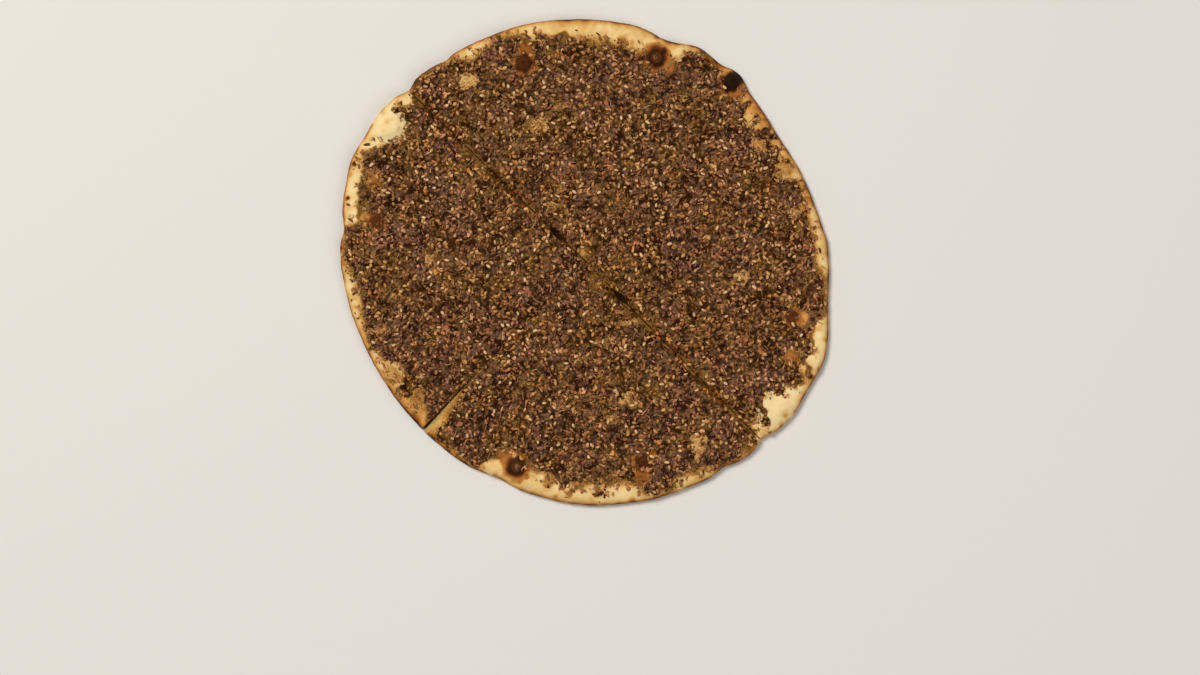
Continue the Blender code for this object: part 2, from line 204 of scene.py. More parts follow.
def use_group(tree, group, **values):
    """Places a node group in a material; a socket named Patch Size is given as patch_size."""
    node = tree.nodes.new("ShaderNodeGroup")
    node.node_tree = group
    for name, value in values.items():
        socket = node.inputs[name.replace("_", " ").title()]
        if isinstance(value, bpy.types.NodeSocket):
            tree.links.new(value, socket)
        else:
            socket.default_value = value
    return node.outputs


def mask(tree, name):
    """A number kept on the mesh's own points."""
    return add(tree, "ShaderNodeAttribute", attribute_name=name).outputs["Fac"]


def show_bumps(tree, shader, height, strength, distance):
    """Lets a height catch the light as fine bumps, `distance` metres high at full strength."""
    bump = add(tree, "ShaderNodeBump", {"Height": height, "Strength": strength, "Distance": distance})
    tree.links.new(bump.outputs["Normal"], shader.inputs["Normal"])


print("helpers ready")

# %% [markdown]
# ### Effects that several finishes share
#
# Nothing on a baked bread has one even colour. *Uneven tone* gives a number that wanders about a half,
# in broad patches and in fine specks. *Fine grain* gives a height for a Bump node, for pores and dust.
# *Oil soak* turns a colour golden with a little oil and olive brown with much, and smooths it. Each is
# a node group, built once and placed in every material with its own sizes.

# %% The three shared groups
def in_millimetres(tree):
    """The point's own place on the object, in millimetres."""
    place = add(tree, "ShaderNodeTexCoord").outputs["Object"]
    return add(tree, "ShaderNodeVectorMath", {0: place, 3: 1 / MM}, operation="SCALE").outputs[0]


def noise(tree, place, size, detail=3.0, roughness=0.55):
    """Cloudy noise from 0 to 1 with features about `size` millimetres across."""
    scale = plus(tree, 1.0, size, "DIVIDE")
    sockets = {"Vector": place, "Scale": scale, "Detail": detail, "Roughness": roughness}
    return add(tree, "ShaderNodeTexNoise", sockets).outputs["Fac"]


def build_uneven_tone():
    inputs = (("Patch Size", "Float", 14.0), ("Speck Size", "Float", 1.2), ("Amount", "Float", 1.0))
    tree, given, result = new_group("uneven_tone", inputs, (("Tone", "Float"),))
    place = in_millimetres(tree)
    patches = noise(tree, place, given["Patch Size"])
    specks = noise(tree, place, given["Speck Size"], 2.0)
    both = plus(tree, times(tree, patches, 0.65), times(tree, specks, 0.35))
    wander = times(tree, minus(tree, both, 0.5), given["Amount"])
    tree.links.new(plus(tree, wander, 0.5), result["Tone"])
    return tree


def build_fine_grain():
    inputs = (("Pore Size", "Float", 1.2), ("Dust Size", "Float", 0.35), ("Dust Share", "Float", 0.3))
    tree, given, result = new_group("fine_grain", inputs, (("Height", "Float"),))
    place = in_millimetres(tree)
    pores = noise(tree, place, given["Pore Size"])
    dust = noise(tree, place, given["Dust Size"], 1.0)
    rest = minus(tree, 1.0, given["Dust Share"])
    height = plus(tree, times(tree, pores, rest), times(tree, dust, given["Dust Share"]))
    tree.links.new(height, result["Height"])
    return tree


OIL_GOLD = tint(236, 206, 156)
OIL_DEEP = tint(92, 64, 24)
WARM_GLOSS = tint(255, 214, 160)


def build_oil_soak():
    dry = (0.5, 0.4, 0.2, 1)
    inputs = (("Colour", "Color", dry), ("Oil", "Float", 0.0), ("Dry Roughness", "Float", 0.75))
    tree, given, result = new_group("oil_soak", inputs, (("Colour", "Color"), ("Roughness", "Float")))
    golden = blend(tree, spread(tree, given["Oil"], 0.0, 0.6), given["Colour"], OIL_GOLD, "MULTIPLY")
    deep = blend(tree, 0.8, golden, OIL_DEEP)
    tree.links.new(blend(tree, spread(tree, given["Oil"], 0.5, 1.0), golden, deep), result["Colour"])
    smoother = times(tree, given["Oil"], 0.3)
    tree.links.new(minus(tree, given["Dry Roughness"], smoother, clamp=True), result["Roughness"])
    return tree


def soak_finish(tree, shader, colour, oil, dry_roughness):
    """Gives a shader the colour and the roughness of a soaked surface."""
    soaked = use_group(tree, oil_soak, colour=colour, oil=oil, dry_roughness=dry_roughness)
    tree.links.new(soaked["Colour"], shader.inputs["Base Color"])
    tree.links.new(soaked["Roughness"], shader.inputs["Roughness"])


uneven_tone = build_uneven_tone()
fine_grain = build_fine_grain()
oil_soak = build_oil_soak()
print("shared groups:", uneven_tone.name, fine_grain.name, oil_soak.name)

# %% [markdown]
# ## The floor
#
# The floor is only there to catch a soft shadow. A plain pale sheet does that.

# %% Floor
FLOOR_HALF = 3.0
floor_mesh = bpy.data.meshes.new("floor")
floor_corners = [(x * FLOOR_HALF, y * FLOOR_HALF, 0.0) for x, y in ((-1, -1), (1, -1), (1, 1), (-1, 1))]
floor_mesh.from_pydata(floor_corners, [], [(0, 1, 2, 3)])
floor = bpy.data.objects.new("floor", floor_mesh)
bpy.context.scene.collection.objects.link(floor)
floor_finish, _, floor_shader = new_material("floor", 0.9, 0.2)
floor_shader.inputs["Base Color"].default_value = tint(226, 225, 222)
floor_mesh.materials.append(floor_finish)
print("floor laid")

# %% [markdown]
# ## The outline of the bread
#
# Hand-stretched dough is never a true circle. Its rim is a mean radius with a few slow waves round it
# and a handful of local bulges and dents, each placed by its angle from the point where the two cuts
# cross. The solids were made from these same numbers, so the fine crust keeps their form. It also gets
# small wobbles that are too fine for a solid, and is drawn in a little so that they stay inside it.
#
# All the functions here work on whole arrays of points at once, which is what makes a mesh of tens of
# thousands of points quick to shape.

# %% Numbers of the outline
MEAN_RADIUS = 152.6
WAVES = ((2, 5.8, -41.0), (3, 1.1, -45.0), (4, 1.7, -24.0))
LOBES = (
    (5, 4, 1.2), (33, 7, -1.6), (51, 4, 4.2), (61, 4, 2.6), (70.5, 4.5, -2.8), (104, 8, 1.0),
    (125, 2, -1.8), (136, 2, -2.8), (145, 5, 1.6), (156.5, 5, 2.2), (172, 3, -2.8),
    (247.5, 5, -2.2), (270, 10, 1.8), (285, 8, 1.2), (304, 2.5, -2.2), (315, 2.5, -2.8),
    (324, 4, 1.4), (338, 6, 2.4), (351, 6, -1.8),
)
CROSSING = (0.82, 0.14)
WOBBLE = ((9.0, 0.22), (3.2, 0.16))
DRAWN_IN = 0.45
print(len(WAVES), "waves and", len(LOBES), "lobes")


# %% Smooth steps, directions and noise
def smooth(t):
    t = np.clip(t, 0.0, 1.0)
    return t * t * (3 - 2 * t)


def turn_between(angle, place):
    return (angle - place + 180) % 360 - 180


def swell(angle, place, half_width):
    """1 at a place on the rim, easing to 0 on both sides of it."""
    return np.exp(-((turn_between(angle, place) / half_width) ** 2))


def direction(angle):
    return np.cos(np.radians(angle)), np.sin(np.radians(angle))


def polar(x, y):
    return np.degrees(np.arctan2(y, x)) % 360, np.hypot(x, y)


TABLE = 512


@functools.lru_cache(maxsize=None)
def random_table(seed):
    return np.random.default_rng(seed).uniform(0, 1, (TABLE, TABLE))


def corner_values(seed, columns, rows):
    """The same random number for the same corner of an endless grid, every time."""
    return random_table(seed)[columns % TABLE, rows % TABLE]


def bumps(x, y, size, seed):
    """Soft bumps and dips from about -1 to 1, `size` millimetres apart."""
    u, v = np.asarray(x) / size, np.asarray(y) / size
    column, row = np.floor(u).astype(int), np.floor(v).astype(int)
    total = np.zeros_like(u, dtype=float)
    for right in (0, 1):
        for up in (0, 1):
            across, along = u - column - right, v - row - up
            slope_x, slope_y = direction(360 * corner_values(seed, column + right, row + up))
            total += smooth(1 - abs(across)) * smooth(1 - abs(along)) * (slope_x * across + slope_y * along)
    return 1.7 * total


def heaps(x, y, size, seed):
    """Rounded heaps about `size` millimetres across: 1 on top and 0 in the cracks between them."""
    u, v = np.asarray(x) / size, np.asarray(y) / size
    column, row = np.floor(u).astype(int), np.floor(v).astype(int)
    nearest = np.full(np.shape(u), 9.0)
    for right in (-1, 0, 1):
        for up in (-1, 0, 1):
            middle_x = column + right + corner_values(seed, column + right, row + up)
            middle_y = row + up + corner_values(seed + 1, column + right, row + up)
            nearest = np.minimum(nearest, (u - middle_x) ** 2 + (v - middle_y) ** 2)
    return 1 - np.minimum(1.0, nearest)


print("noise runs from", np.round(bumps(np.arange(50) * 1.3, np.arange(50) * 0.7, 4.0, 1).min(), 2), "up")


# %% The rim's radius
def rim_radius(angle):
    radius = np.full(np.shape(angle), MEAN_RADIUS - DRAWN_IN, dtype=float)
    for count, amount, crest in WAVES:
        radius += amount * np.cos(np.radians(count * (angle - crest)))
    for place, half_width, amount in LOBES:
        radius += amount * swell(angle, place, half_width)
    x, y = direction(angle)
    for size, amount in WOBBLE:
        radius += amount * bumps(x * MEAN_RADIUS, y * MEAN_RADIUS, size, 11)
    return radius


def from_rim(x, y):
    """The angle of each point, and how many millimetres it is inside the rim."""
    angle, far = polar(x, y)
    return angle, rim_radius(angle) - far


around = rim_radius(np.arange(0, 360, 1.0))
print("radius from", around.min().round(1), "to", around.max().round(1), "mm")

# %% [markdown]
# ## Where the topping stops
#
# The topping is spread by hand and leaves an uneven bare rim, from almost nothing to twenty
# millimetres. Its width is a list of places round the rim with easing between them. The upper half's
# places come again in the lower half, so each is given once and turned by about half a circle.
#
# Blisters lift through the topping and push it aside. Each has its place, size and height, and for the
# finish how brown its top has baked and how far its middle has sunk in again.

# %% Numbers of the bare rim and the blisters
TWIN_BARE_RIM = (
    (66, 11), (72, 13), (101, 12), (109, 3.5), (119, 8), (125.5, 2), (135, 2), (139, 12), (145, 20),
    (151, 13), (154, 7), (161, 13), (168, 13), (173, 2.5), (179, 3), (185, 8),
)
SINGLE_BARE_RIM = (
    (14, 6), (19, 4), (25, 13), (33, 6), (41, 17), (46, 8), (51, 13), (56, 2.5), (61, 2),
    (191, 8), (200, 4), (210, 13), (216, 6), (222, 9), (228, 2), (241, 2),
)
# Baked is 0 for pale and 1 for burnt, and sunk is how far the middle has sunk in, in millimetres.
Blister = collections.namedtuple("Blister", "angle distance half_width height baked sunk")
TWIN_BLISTERS = (
    (65.5, 143, 5, 1.8, 0.12, 0.0), (71, 135, 7, 2.8, 0.90, 1.3), (80.5, 139, 4, 1.0, 0.36, 0.0),
    (107.5, 130.5, 7, 3.2, 0.82, 0.3), (123, 134.5, 8, 2.6, 0.20, 0.5), (145, 149, 11, 2.0, 0.02, 0.0),
    (158.5, 142, 7, 1.6, 0.45, 0.3), (169, 133, 5.5, 2.4, 0.76, 0.3), (108.6, 90, 4.5, 1.5, 0.24, 0.2),
    (178.5, 98, 4, 1.3, 0.22, 0.0),
)
SINGLE_BLISTERS = (
    (14, 134.5, 4.5, 1.3, 0.25, 0.0), (25.5, 138, 6, 1.8, 0.30, 0.2), (34, 129.5, 5, 1.8, 0.28, 0.0),
    (41, 135, 5.5, 1.6, 0.14, 0.0), (51, 144, 6.5, 3.6, 1.0, 0.3), (199, 136, 4.5, 1.7, 0.25, 0.0),
    (210, 141, 6, 1.5, 0.26, 0.0), (219, 134.5, 5.5, 2.0, 0.34, 0.2),
)


def twin(angle):
    """Where a place of the upper half comes again in the lower half: half a turn on, less a little."""
    return angle + 180.5 - 0.041 * (angle - 66)


BARE_RIM = sorted(
    [(angle % 360, width) for angle, width in SINGLE_BARE_RIM + TWIN_BARE_RIM]
    + [(twin(angle) % 360, width) for angle, width in TWIN_BARE_RIM]
)
BLISTERS = [Blister(*numbers) for numbers in SINGLE_BLISTERS + TWIN_BLISTERS]
BLISTERS += [Blister(twin(angle), *rest) for angle, *rest in TWIN_BLISTERS]
print(len(BARE_RIM), "rim places and", len(BLISTERS), "blisters")


# %% The bare rim's width
def bare_rim(angle):
    """How far the topping stops short of the rim, eased from one place to the next."""
    angle = np.asarray(angle) % 360
    first, last = BARE_RIM[0], BARE_RIM[-1]
    places = np.array([last[0] - 360] + [place for place, _ in BARE_RIM] + [first[0] + 360])
    widths = np.array([last[1]] + [width for _, width in BARE_RIM] + [first[1]], dtype=float)
    before = np.searchsorted(places, angle, side="right") - 1
    share = (angle - places[before]) / (places[before + 1] - places[before])
    return widths[before] + (widths[before + 1] - widths[before]) * smooth(share)


# The topping has been spread a little short of the rim's foot: this times the rim's width.
SHORT_OF_RIM = 1.17
# Angle, half-width in degrees, and how many millimetres farther out loose topping is strewn there.
STREWN = (
    (45.5, 4.5, 9), (40.5, 3.2, 9), (35, 4.5, 11), (29, 3, 6), (19, 5, 3), (64, 5, 4), (96, 2.4, 8),
    (101.5, 2, 6), (111, 3, 3), (128, 4, 3), (141.5, 3.2, 13), (149.5, 2.4, 9), (155.5, 2.4, 5), (160, 2, 5),
    (164, 3.5, 6), (169, 2, 6), (173, 4, 5), (191, 6, 4), (205, 4, 6), (216, 4, 6), (265, 3, 9),
    (273, 2.5, 5), (287, 4, 5), (319, 3.2, 12), (326.5, 2.4, 8), (334, 4, 6), (339, 2.4, 5), (345, 4, 6),
)


def inside_rim(x, y):
    """Millimetres inside the line that the topping was spread to, with the zones strewn past it."""
    angle, far = polar(x, y)
    inside = rim_radius(angle) - SHORT_OF_RIM * bare_rim(angle) - far
    clumps = np.clip(0.65 + 1.7 * bumps(x, y, 5.5, 36), 0.1, 1.0)
    for place, half_width, reach in STREWN:
        inside += reach * clumps * swell(angle, place, half_width)
    return inside


def blister_place(blister):
    x, y = direction(blister.angle)
    return blister.distance * x, blister.distance * y


def ragged_blister(x, y, blister, ragged):
    """The distance from a blister's middle in half-widths, made uneven by noise."""
    middle_x, middle_y = blister_place(blister)
    return np.hypot(x - middle_x, y - middle_y) / blister.half_width * (1 + 0.35 * ragged)


print("bare rim is", bare_rim(145.0).round(1), "mm wide at the pale lobe")

# %% [markdown]
# ## The cuts
#
# A wheel cutter has gone across twice. Each of the four half-cuts is a straight line out from the
# crossing. Its walls stand less than a millimetre apart at the top and touch at the foot, because soft
# dough springs back, and two of the cuts gape in one place. The wheel has pressed a shallow groove
# beside its line and dragged the topping away. One wall leans back from its cut near the rim, so that
# its pale inside shows.

# %% Numbers of the cuts
CUTS = {"upper_right": 40.5, "upper_left": 136.0, "lower_left": 225.5, "lower_right": 314.5}
SLICES = {
    "top": ("upper_right", "upper_left"),
    "left": ("upper_left", "lower_left"),
    "bottom": ("lower_left", "lower_right"),
    "right": ("lower_right", "upper_right"),
}
HALF_GAP = 0.45
# The dough has sprung back, so that only this share of the gap is left at the top of each cut.
STILL_OPEN = {"upper_right": 0.25, "upper_left": 0.7, "lower_left": 0.22, "lower_right": 0.7}
# Where each slit lies along its cut, half its length, and how far each wall stands back there.
SLITS = {"upper_left": (25.6, 6.5, 1.65), "lower_right": (31.0, 6.5, 1.65)}
LEANING_SLICE = "bottom"
LEANING_CUT = "lower_left"
LEAN_START = 95.0
LEAN_AT_RIM = 5.0
LEAN_GROWTH = 45.0
# How far the wheel has dragged the topping off the dough on each side of its line.
DRAGGED = {"upper_right": -3.0, "upper_left": -0.7, "lower_left": -2.2, "lower_right": -0.7}


def beside_cut(x, y, cut):
    """How far along a cut a point is, and how far to its left."""
    ray_x, ray_y = direction(CUTS[cut])
    return x * ray_x + y * ray_y, y * ray_x - x * ray_y


def half_gap(cut, along):
    closed = np.full(np.shape(along), HALF_GAP * STILL_OPEN[cut])
    if cut not in SLITS:
        return closed
    place, half_length, opening = SLITS[cut]
    return closed + opening * np.maximum(0, 1 - ((along - place) / half_length) ** 2) ** 1.2


def setback(slice_name, cut, along):
    """How far the top of a slice's wall stands back from the middle of its cut."""
    back = half_gap(cut, along)
    if (slice_name, cut) == (LEANING_SLICE, LEANING_CUT):
        back = back + LEAN_AT_RIM * smooth((along - LEAN_START) / (rim_radius(CUTS[cut]) - LEAN_START))
    return back


def beside_leaning_wall(x, y):
    """Millimetres past the top edge of the wall that leans back, and how far its lean has grown there."""
    along, off = beside_cut(x, y, LEANING_CUT)
    beyond = np.where(off > 0, off - setback(LEANING_SLICE, LEANING_CUT, along), 99.0)
    return beyond, smooth((along - LEAN_START) / LEAN_GROWTH)


def cut_distance(x, y):
    nearest = np.full(np.shape(x), 999.0)
    for cut in CUTS:
        along, off = beside_cut(x, y, cut)
        nearest = np.minimum(nearest, np.hypot(np.minimum(along, 0.0), off))
    return nearest


print("the slit on the upper left gapes", 2 * half_gap("upper_left", np.array(25.6)), "mm")

# %% [markdown]
# ## The shape of the dough
#
# Its height has one rule: a rounded rim that climbs from its edge to a crest, a slope down to the thin
# middle, low swells over the whole, the blisters, and the groove beside the cuts. Finer bumps come on
# top of it here. A rim that has baked fast is covered with small bubbles, so a few hundred are
# scattered along it, some of which have burst into shallow craters.

# %% Numbers of the dough
MIDDLE_HEIGHT = 4.2
EDGE_HEIGHT = 2.4
CREST_HEIGHT = 5.8
CREST_GROWTH = 0.16
CREST_REACH = 4.0
CREST_WIDENING = 0.3
RIM_SLOPE = 16.0
UNDERCUT = 2.4
# Each swell is a wave: how steeply it turns along X and along Y, its start and its height.
SWELLS = (
    (0.043, 0.071, 0.9, 0.35), (-0.083, 0.039, 2.1, 0.3), (0.17, 0.11, 0.4, 0.18), (-0.12, 0.21, 1.3, 0.18),
)
SWELL_FADE = 12.0
GROOVE_DEPTH = 0.9
GROOVE_WIDTH = 3.0
BUBBLES = 420
BUBBLE_SIZES = (0.8, 2.6)
BUBBLE_HEIGHT = 0.16
WRINKLES = 0.22
# The bare rim's finer relief: size, height and seed.
RIM_RELIEF = ((8.0, 0.30, 22), (2.7, 0.10, 23), (1.3, 0.05, 24))
# No blister rises past the solids' own top: heights ease off above the first number and end at the
# second.
EASE_ABOVE = 10.0
HIGHEST = 11.0


def make_bubbles():
    """Small bubbles along the rim, each a place, a half-width and a height; every fourth has burst."""
    draw = np.random.default_rng(5)
    angle = draw.uniform(0, 360, BUBBLES)
    reach = draw.uniform(0.5, np.maximum(3.0, bare_rim(angle) + 1))
    size = draw.uniform(*BUBBLE_SIZES, BUBBLES)
    height = BUBBLE_HEIGHT * size * np.where(np.arange(BUBBLES) % 4 == 0, -0.7, 1.0)
    x, y = direction(angle)
    far = rim_radius(angle) - reach
    return np.stack([far * x, far * y, size, height], axis=1)


bubbles = make_bubbles()
print(BUBBLES, "small bubbles on the rim")


# %% The dough's height
def cap(x, y, middle_x, middle_y, half_width):
    """A rounded cap: 1 in its middle and 0 from its edge outwards."""
    share = ((x - middle_x) ** 2 + (y - middle_y) ** 2) / half_width ** 2
    return np.maximum(0.0, 1 - share) ** 1.5


def blister_cap(x, y, blister, share=1.0):
    """A cap over a blister's middle, over a share of the blister's own half-width."""
    return cap(x, y, *blister_place(blister), share * blister.half_width)


def main_height(x, y):
    """The height that the solids have too."""
    angle, reach = from_rim(x, y)
    crest = CREST_HEIGHT + CREST_GROWTH * bare_rim(angle)
    wide = CREST_REACH + CREST_WIDENING * bare_rim(angle)
    round_off = np.clip(1 - reach / wide, 0.0, 1.0)
    rolled = EDGE_HEIGHT + (crest - EDGE_HEIGHT) * np.sqrt(1 - round_off ** 2)
    sloped = crest + (MIDDLE_HEIGHT - crest) * smooth((reach - wide) / RIM_SLOPE)
    height = np.where(reach < wide, rolled, sloped)
    inside = smooth(reach / SWELL_FADE)
    for along_x, along_y, phase, amount in SWELLS:
        height += inside * amount * np.sin(along_x * x + along_y * y + phase)
    for blister in BLISTERS:
        height += blister.height * blister_cap(x, y, blister)
    return height - GROOVE_DEPTH * inside * np.exp(-((cut_distance(x, y) / GROOVE_WIDTH) ** 2))


def dough_height(x, y):
    """The main height with sunken blisters, wrinkles and bubbles."""
    angle, reach = from_rim(x, y)
    height = main_height(x, y)
    for blister in BLISTERS:
        height -= blister.sunk * blister_cap(x, y, blister, 0.55)
        height += WRINKLES * blister_cap(x, y, blister, 1.1) * bumps(x, y, 2.4, 21)
    on_rim = smooth((bare_rim(angle) + 6 - reach) / 4) * smooth(reach / 1.5)
    height += on_rim * sum(amount * bumps(x, y, size, seed) for size, amount, seed in RIM_RELIEF)
    for middle_x, middle_y, size, rise in bubbles:
        close = (abs(x - middle_x) < size) & (abs(y - middle_y) < size)
        height[close] += rise * cap(x[close], y[close], middle_x, middle_y, size)
    over = np.maximum(height - EASE_ABOVE, 0.0)
    room = HIGHEST - EASE_ABOVE
    return np.minimum(height, EASE_ABOVE) + room * np.tanh(over / room)


sample = np.array([0.0, 60.0, 120.0])
print("height along +X:", dough_height(sample, sample * 0).round(1), "mm")

# %% [markdown]
# ## The topping's cover
#
# One number says how much topping lies on a spot: how many millimetres it is inside the topping's
# edge. It is negative on the bare rim, on the bald tops of blisters, beside the cuts and on a few worn
# patches. Noise makes every such edge ragged. The dough's colour, the topping's thickness and the
# scattering of seeds all read this one number, so they always agree.

# %% Worn patches and the cover
# Each patch is an oval: its middle, half-length, half-width, turn, and how strong it is from 0 to 1.
WORN_PATCHES = (
    (-21.0, 36.5, 8.5, 3.2, 12, 0.8), (-17.0, 44.0, 2.2, 6.5, -25, 0.7), (-1.5, 6.0, 3.6, 3.0, 0, 0.9),
    (7.0, -12.0, 4.4, 3.0, -38, 0.9), (26.5, -37.5, 8.0, 3.0, 8, 0.7), (15.0, -48.5, 3.0, 6.0, -20, 0.6),
    (-28.5, 32.0, 3.2, 1.8, 30, 0.5), (20.0, -30.5, 5.0, 2.0, -40, 0.6), (-28.7, 85.3, 6.5, 5.0, 20, 0.8),
    (28.5, -86.0, 6.5, 5.0, 20, 0.8), (-14.0, 98.0, 4.5, 3.0, 0, 0.7), (14.5, -98.0, 4.5, 3.0, 0, 0.7),
)
OILY_PATCHES = (
    (-76, 69, 4.5, 10, 45, 1.0), (-66, 60, 4, 9, 40, 0.8), (74.5, -72, 4.5, 10, 45, 1.0),
    (64, -64, 4, 9, 40, 0.8), (55, 54, 5, 8, -50, 0.6), (-44, -46, 6, 8, -45, 0.7),
    (-50, 26, 6, 4, 0, 0.5), (33, 10, 5, 5, 0, 0.4),
)
# Bare patches beside the charred blisters: angle, distance from the crossing, half-length, half-width,
# turn from the outward direction, and how brown.
TWIN_HALOES = (
    (105.8, 138.0, 6.0, 5.0, 0.0, 0.52),
    (67.3, 132.8, 7.5, 5.0, 40.0, 0.46),
    (169.1, 140.0, 5.0, 6.0, 0.0, 0.26),
)
SINGLE_HALOES = ((48.5, 142.0, 9.5, 4.6, -39.0, 0.47),)


def halo_patches():
    """The haloes as oval patches like the others, each with its browning."""
    patches = []
    turned = tuple((twin(halo[0]), *halo[1:]) for halo in TWIN_HALOES)
    for angle, distance, half_length, half_width, turn, brown in TWIN_HALOES + turned + SINGLE_HALOES:
        x, y = direction(angle)
        patches.append(((distance * x, distance * y, half_length, half_width, angle + turn, 1.0), brown))
    return patches


HALOES = halo_patches()
HALO_PATCHES = [patch for patch, _ in HALOES]
# Each kind of patch with the cover that is left at its edge, and how fast it falls to its middle.
THINNED = ((WORN_PATCHES, 1.6, 3.6), (HALO_PATCHES, 1.0, 7.0), (OILY_PATCHES, 3.4, 3.6))
# Where oil has run right out to the rim: angle, half-width in degrees and how soaked.
OILY_RIM = ((40, 9, 0.48), (31, 5, 0.35), (216, 6, 0.4), (235, 9, 0.5))
# How far the topping draws back from the leaning wall as its lean grows.
BARE_BESIDE_LEAN = 5.2
# A blister that has baked browner than the first number holds dust, and past the second it is
# charred and nothing sticks to it.
DUSTY_FROM = 0.15
CHARRED = 0.5
# A pale blister is bald over the first share of its half-width, and a burnt one over both together.
BALD_SHARE = (0.32, 0.74)
# The topping's edge is ragged by noise of these sizes and amounts.
RAGGED = ((15.0, 1.8), (8.0, 1.8), (3.4, 1.6), (1.7, 1.1))


def in_patch(x, y, patch):
    """1 in the middle of an oval patch, 0 on its edge and below 0 outside."""
    middle_x, middle_y, half_length, half_width, turn, _ = patch
    ray_x, ray_y = direction(turn)
    along = (x - middle_x) * ray_x + (y - middle_y) * ray_y
    across = (y - middle_y) * ray_x - (x - middle_x) * ray_y
    return 1 - np.hypot(along / half_length, across / half_width)


def most_of(x, y, patches):
    """How strong the strongest of the patches is at each point, from 0 to 1."""
    return np.max([patch[5] * smooth(1.5 * in_patch(x, y, patch)) for patch in patches], axis=0)


def cover(x, y):
    """Millimetres inside the topping's edge, negative where the dough is bare."""
    inside = inside_rim(x, y)
    blister_noise = bumps(x, y, 4.5, 34)
    for blister in BLISTERS:
        share = ragged_blister(x, y, blister, blister_noise)
        bald = BALD_SHARE[0] + BALD_SHARE[1] * blister.baked
        inside = np.minimum(inside, (share - bald) * blister.half_width)
    for patches, at_edge, fall in THINNED:
        for patch in patches:
            inside = np.minimum(inside, at_edge - fall * patch[5] * in_patch(x, y, patch))
    for cut in CUTS:
        along, off = beside_cut(x, y, cut)
        dragged = DRAGGED[cut] * smooth(along / 12) * (1 + 0.5 * bumps(along, off, 9.0, 35))
        inside = np.minimum(inside, np.hypot(np.minimum(along, 0.0), off) - dragged)
    beyond, grown = beside_leaning_wall(x, y)
    inside = np.minimum(inside, beyond - DRAGGED[LEANING_CUT] - BARE_BESIDE_LEAN * grown)
    return inside + sum(amount * bumps(x, y, size, 31) for size, amount in RAGGED)


def oil(x, y):
    """How oil-soaked the dough is: fully under the topping, less and less for some way past its edge."""
    soaked = smooth((inside_rim(x, y) + 5.5 + 2.5 * bumps(x, y, 6.0, 33)) / 8.0)
    for blister in BLISTERS:
        soaked *= 1 - 0.8 * smooth(1.6 * blister_cap(x, y, blister, 1.7))
    angle, _ = polar(x, y)
    for place, half_width, amount in OILY_RIM:
        soaked = np.maximum(soaked, amount * swell(angle, place, half_width))
    beyond, grown = beside_leaning_wall(x, y)
    soaked *= 1 - 0.5 * grown * smooth((6.0 - abs(beyond)) / 4.0)
    soaked *= 1 - 0.8 * most_of(x, y, HALO_PATCHES)
    return soaked * (1 - 0.55 * most_of(x, y, WORN_PATCHES))


def dust(x, y):
    """How thickly herb dust lies on the dough where the topping leaves it bare."""
    near = smooth((cover(x, y) + 4.0) / 5.0)
    for blister in BLISTERS:
        if DUSTY_FROM < blister.baked < CHARRED:
            near = np.maximum(near, 0.75 * smooth(1.5 * blister_cap(x, y, blister, 1.3)))
    return near


sample = np.array([0.0, 75.0, 150.0])
print("cover at the crossing, half way out and at the rim:", cover(sample, sample * 0).round(1))

# %% [markdown]
# ## How brown the dough has baked
#
# Browning is one number from 0, pale, to 1, burnt. The outermost edge and the tops of the blisters bake
# first, a few thin spots have charred, and the widest lobes of the rim stay creamy. The number is kept
# on the mesh's points, and the material spreads it over a strip of colours from cream to black.

# %% Scorched spots and the browning
# Angle, distance from the crossing, half-width and how brown.
SCORCHES = (
    (157.0, 157.0, 2.2, 0.8), (165.0, 154.0, 2.0, 0.7), (333.0, 157.5, 2.4, 0.7), (106.6, 151.0, 1.4, 0.5),
    (133.0, 152.0, 5.0, 0.7), (312.0, 152.0, 5.0, 0.7), (26.5, 140.5, 2.4, 0.6), (57.0, 151.0, 3.0, 0.6),
    (60.5, 153.0, 3.0, 0.6), (64.0, 152.0, 2.5, 0.5), (229.0, 148.5, 4.0, 0.6), (234.0, 149.0, 4.0, 0.7),
    (239.0, 149.0, 4.0, 0.6), (243.0, 149.0, 3.0, 0.5), (357.0, 139.5, 5.5, 0.45), (14.5, 136.0, 2.2, 0.5),
    (199.5, 137.0, 2.0, 0.5), (160.0, 143.0, 2.0, 0.4), (222.5, 146.0, 6.0, 0.25), (247.0, 146.0, 3.0, 0.3),
    (176.0, 157.0, 2.5, 0.3), (50.5, 149.5, 5.5, 0.55), (90.0, 150.0, 4.0, 0.12), (281.0, 152.0, 3.0, 0.25),
    (322.5, 156.0, 4.0, 0.15),
)
# The edge is browned in bands: how deep each reaches and how much it adds.
EDGE_BROWNING = ((1.3, 0.30), (3.2, 0.12), (9.0, 0.04))
# A charred blister has a golden ring: how many half-widths out it reaches, and how brown it is.
HALO_REACH = 1.7
HALO_BROWN = 0.44
# Stretches of the rim that have baked more or less: angle, half-width in degrees, and how much.
RIM_BROWNING = (
    (36, 16, 0.07), (60, 12, 0.08), (90, 12, 0.05), (166, 10, -0.06), (346, 10, -0.06), (145, 9, -0.10),
    (190, 14, -0.04), (222, 10, 0.12), (270, 18, -0.02), (324, 9, -0.08),
)


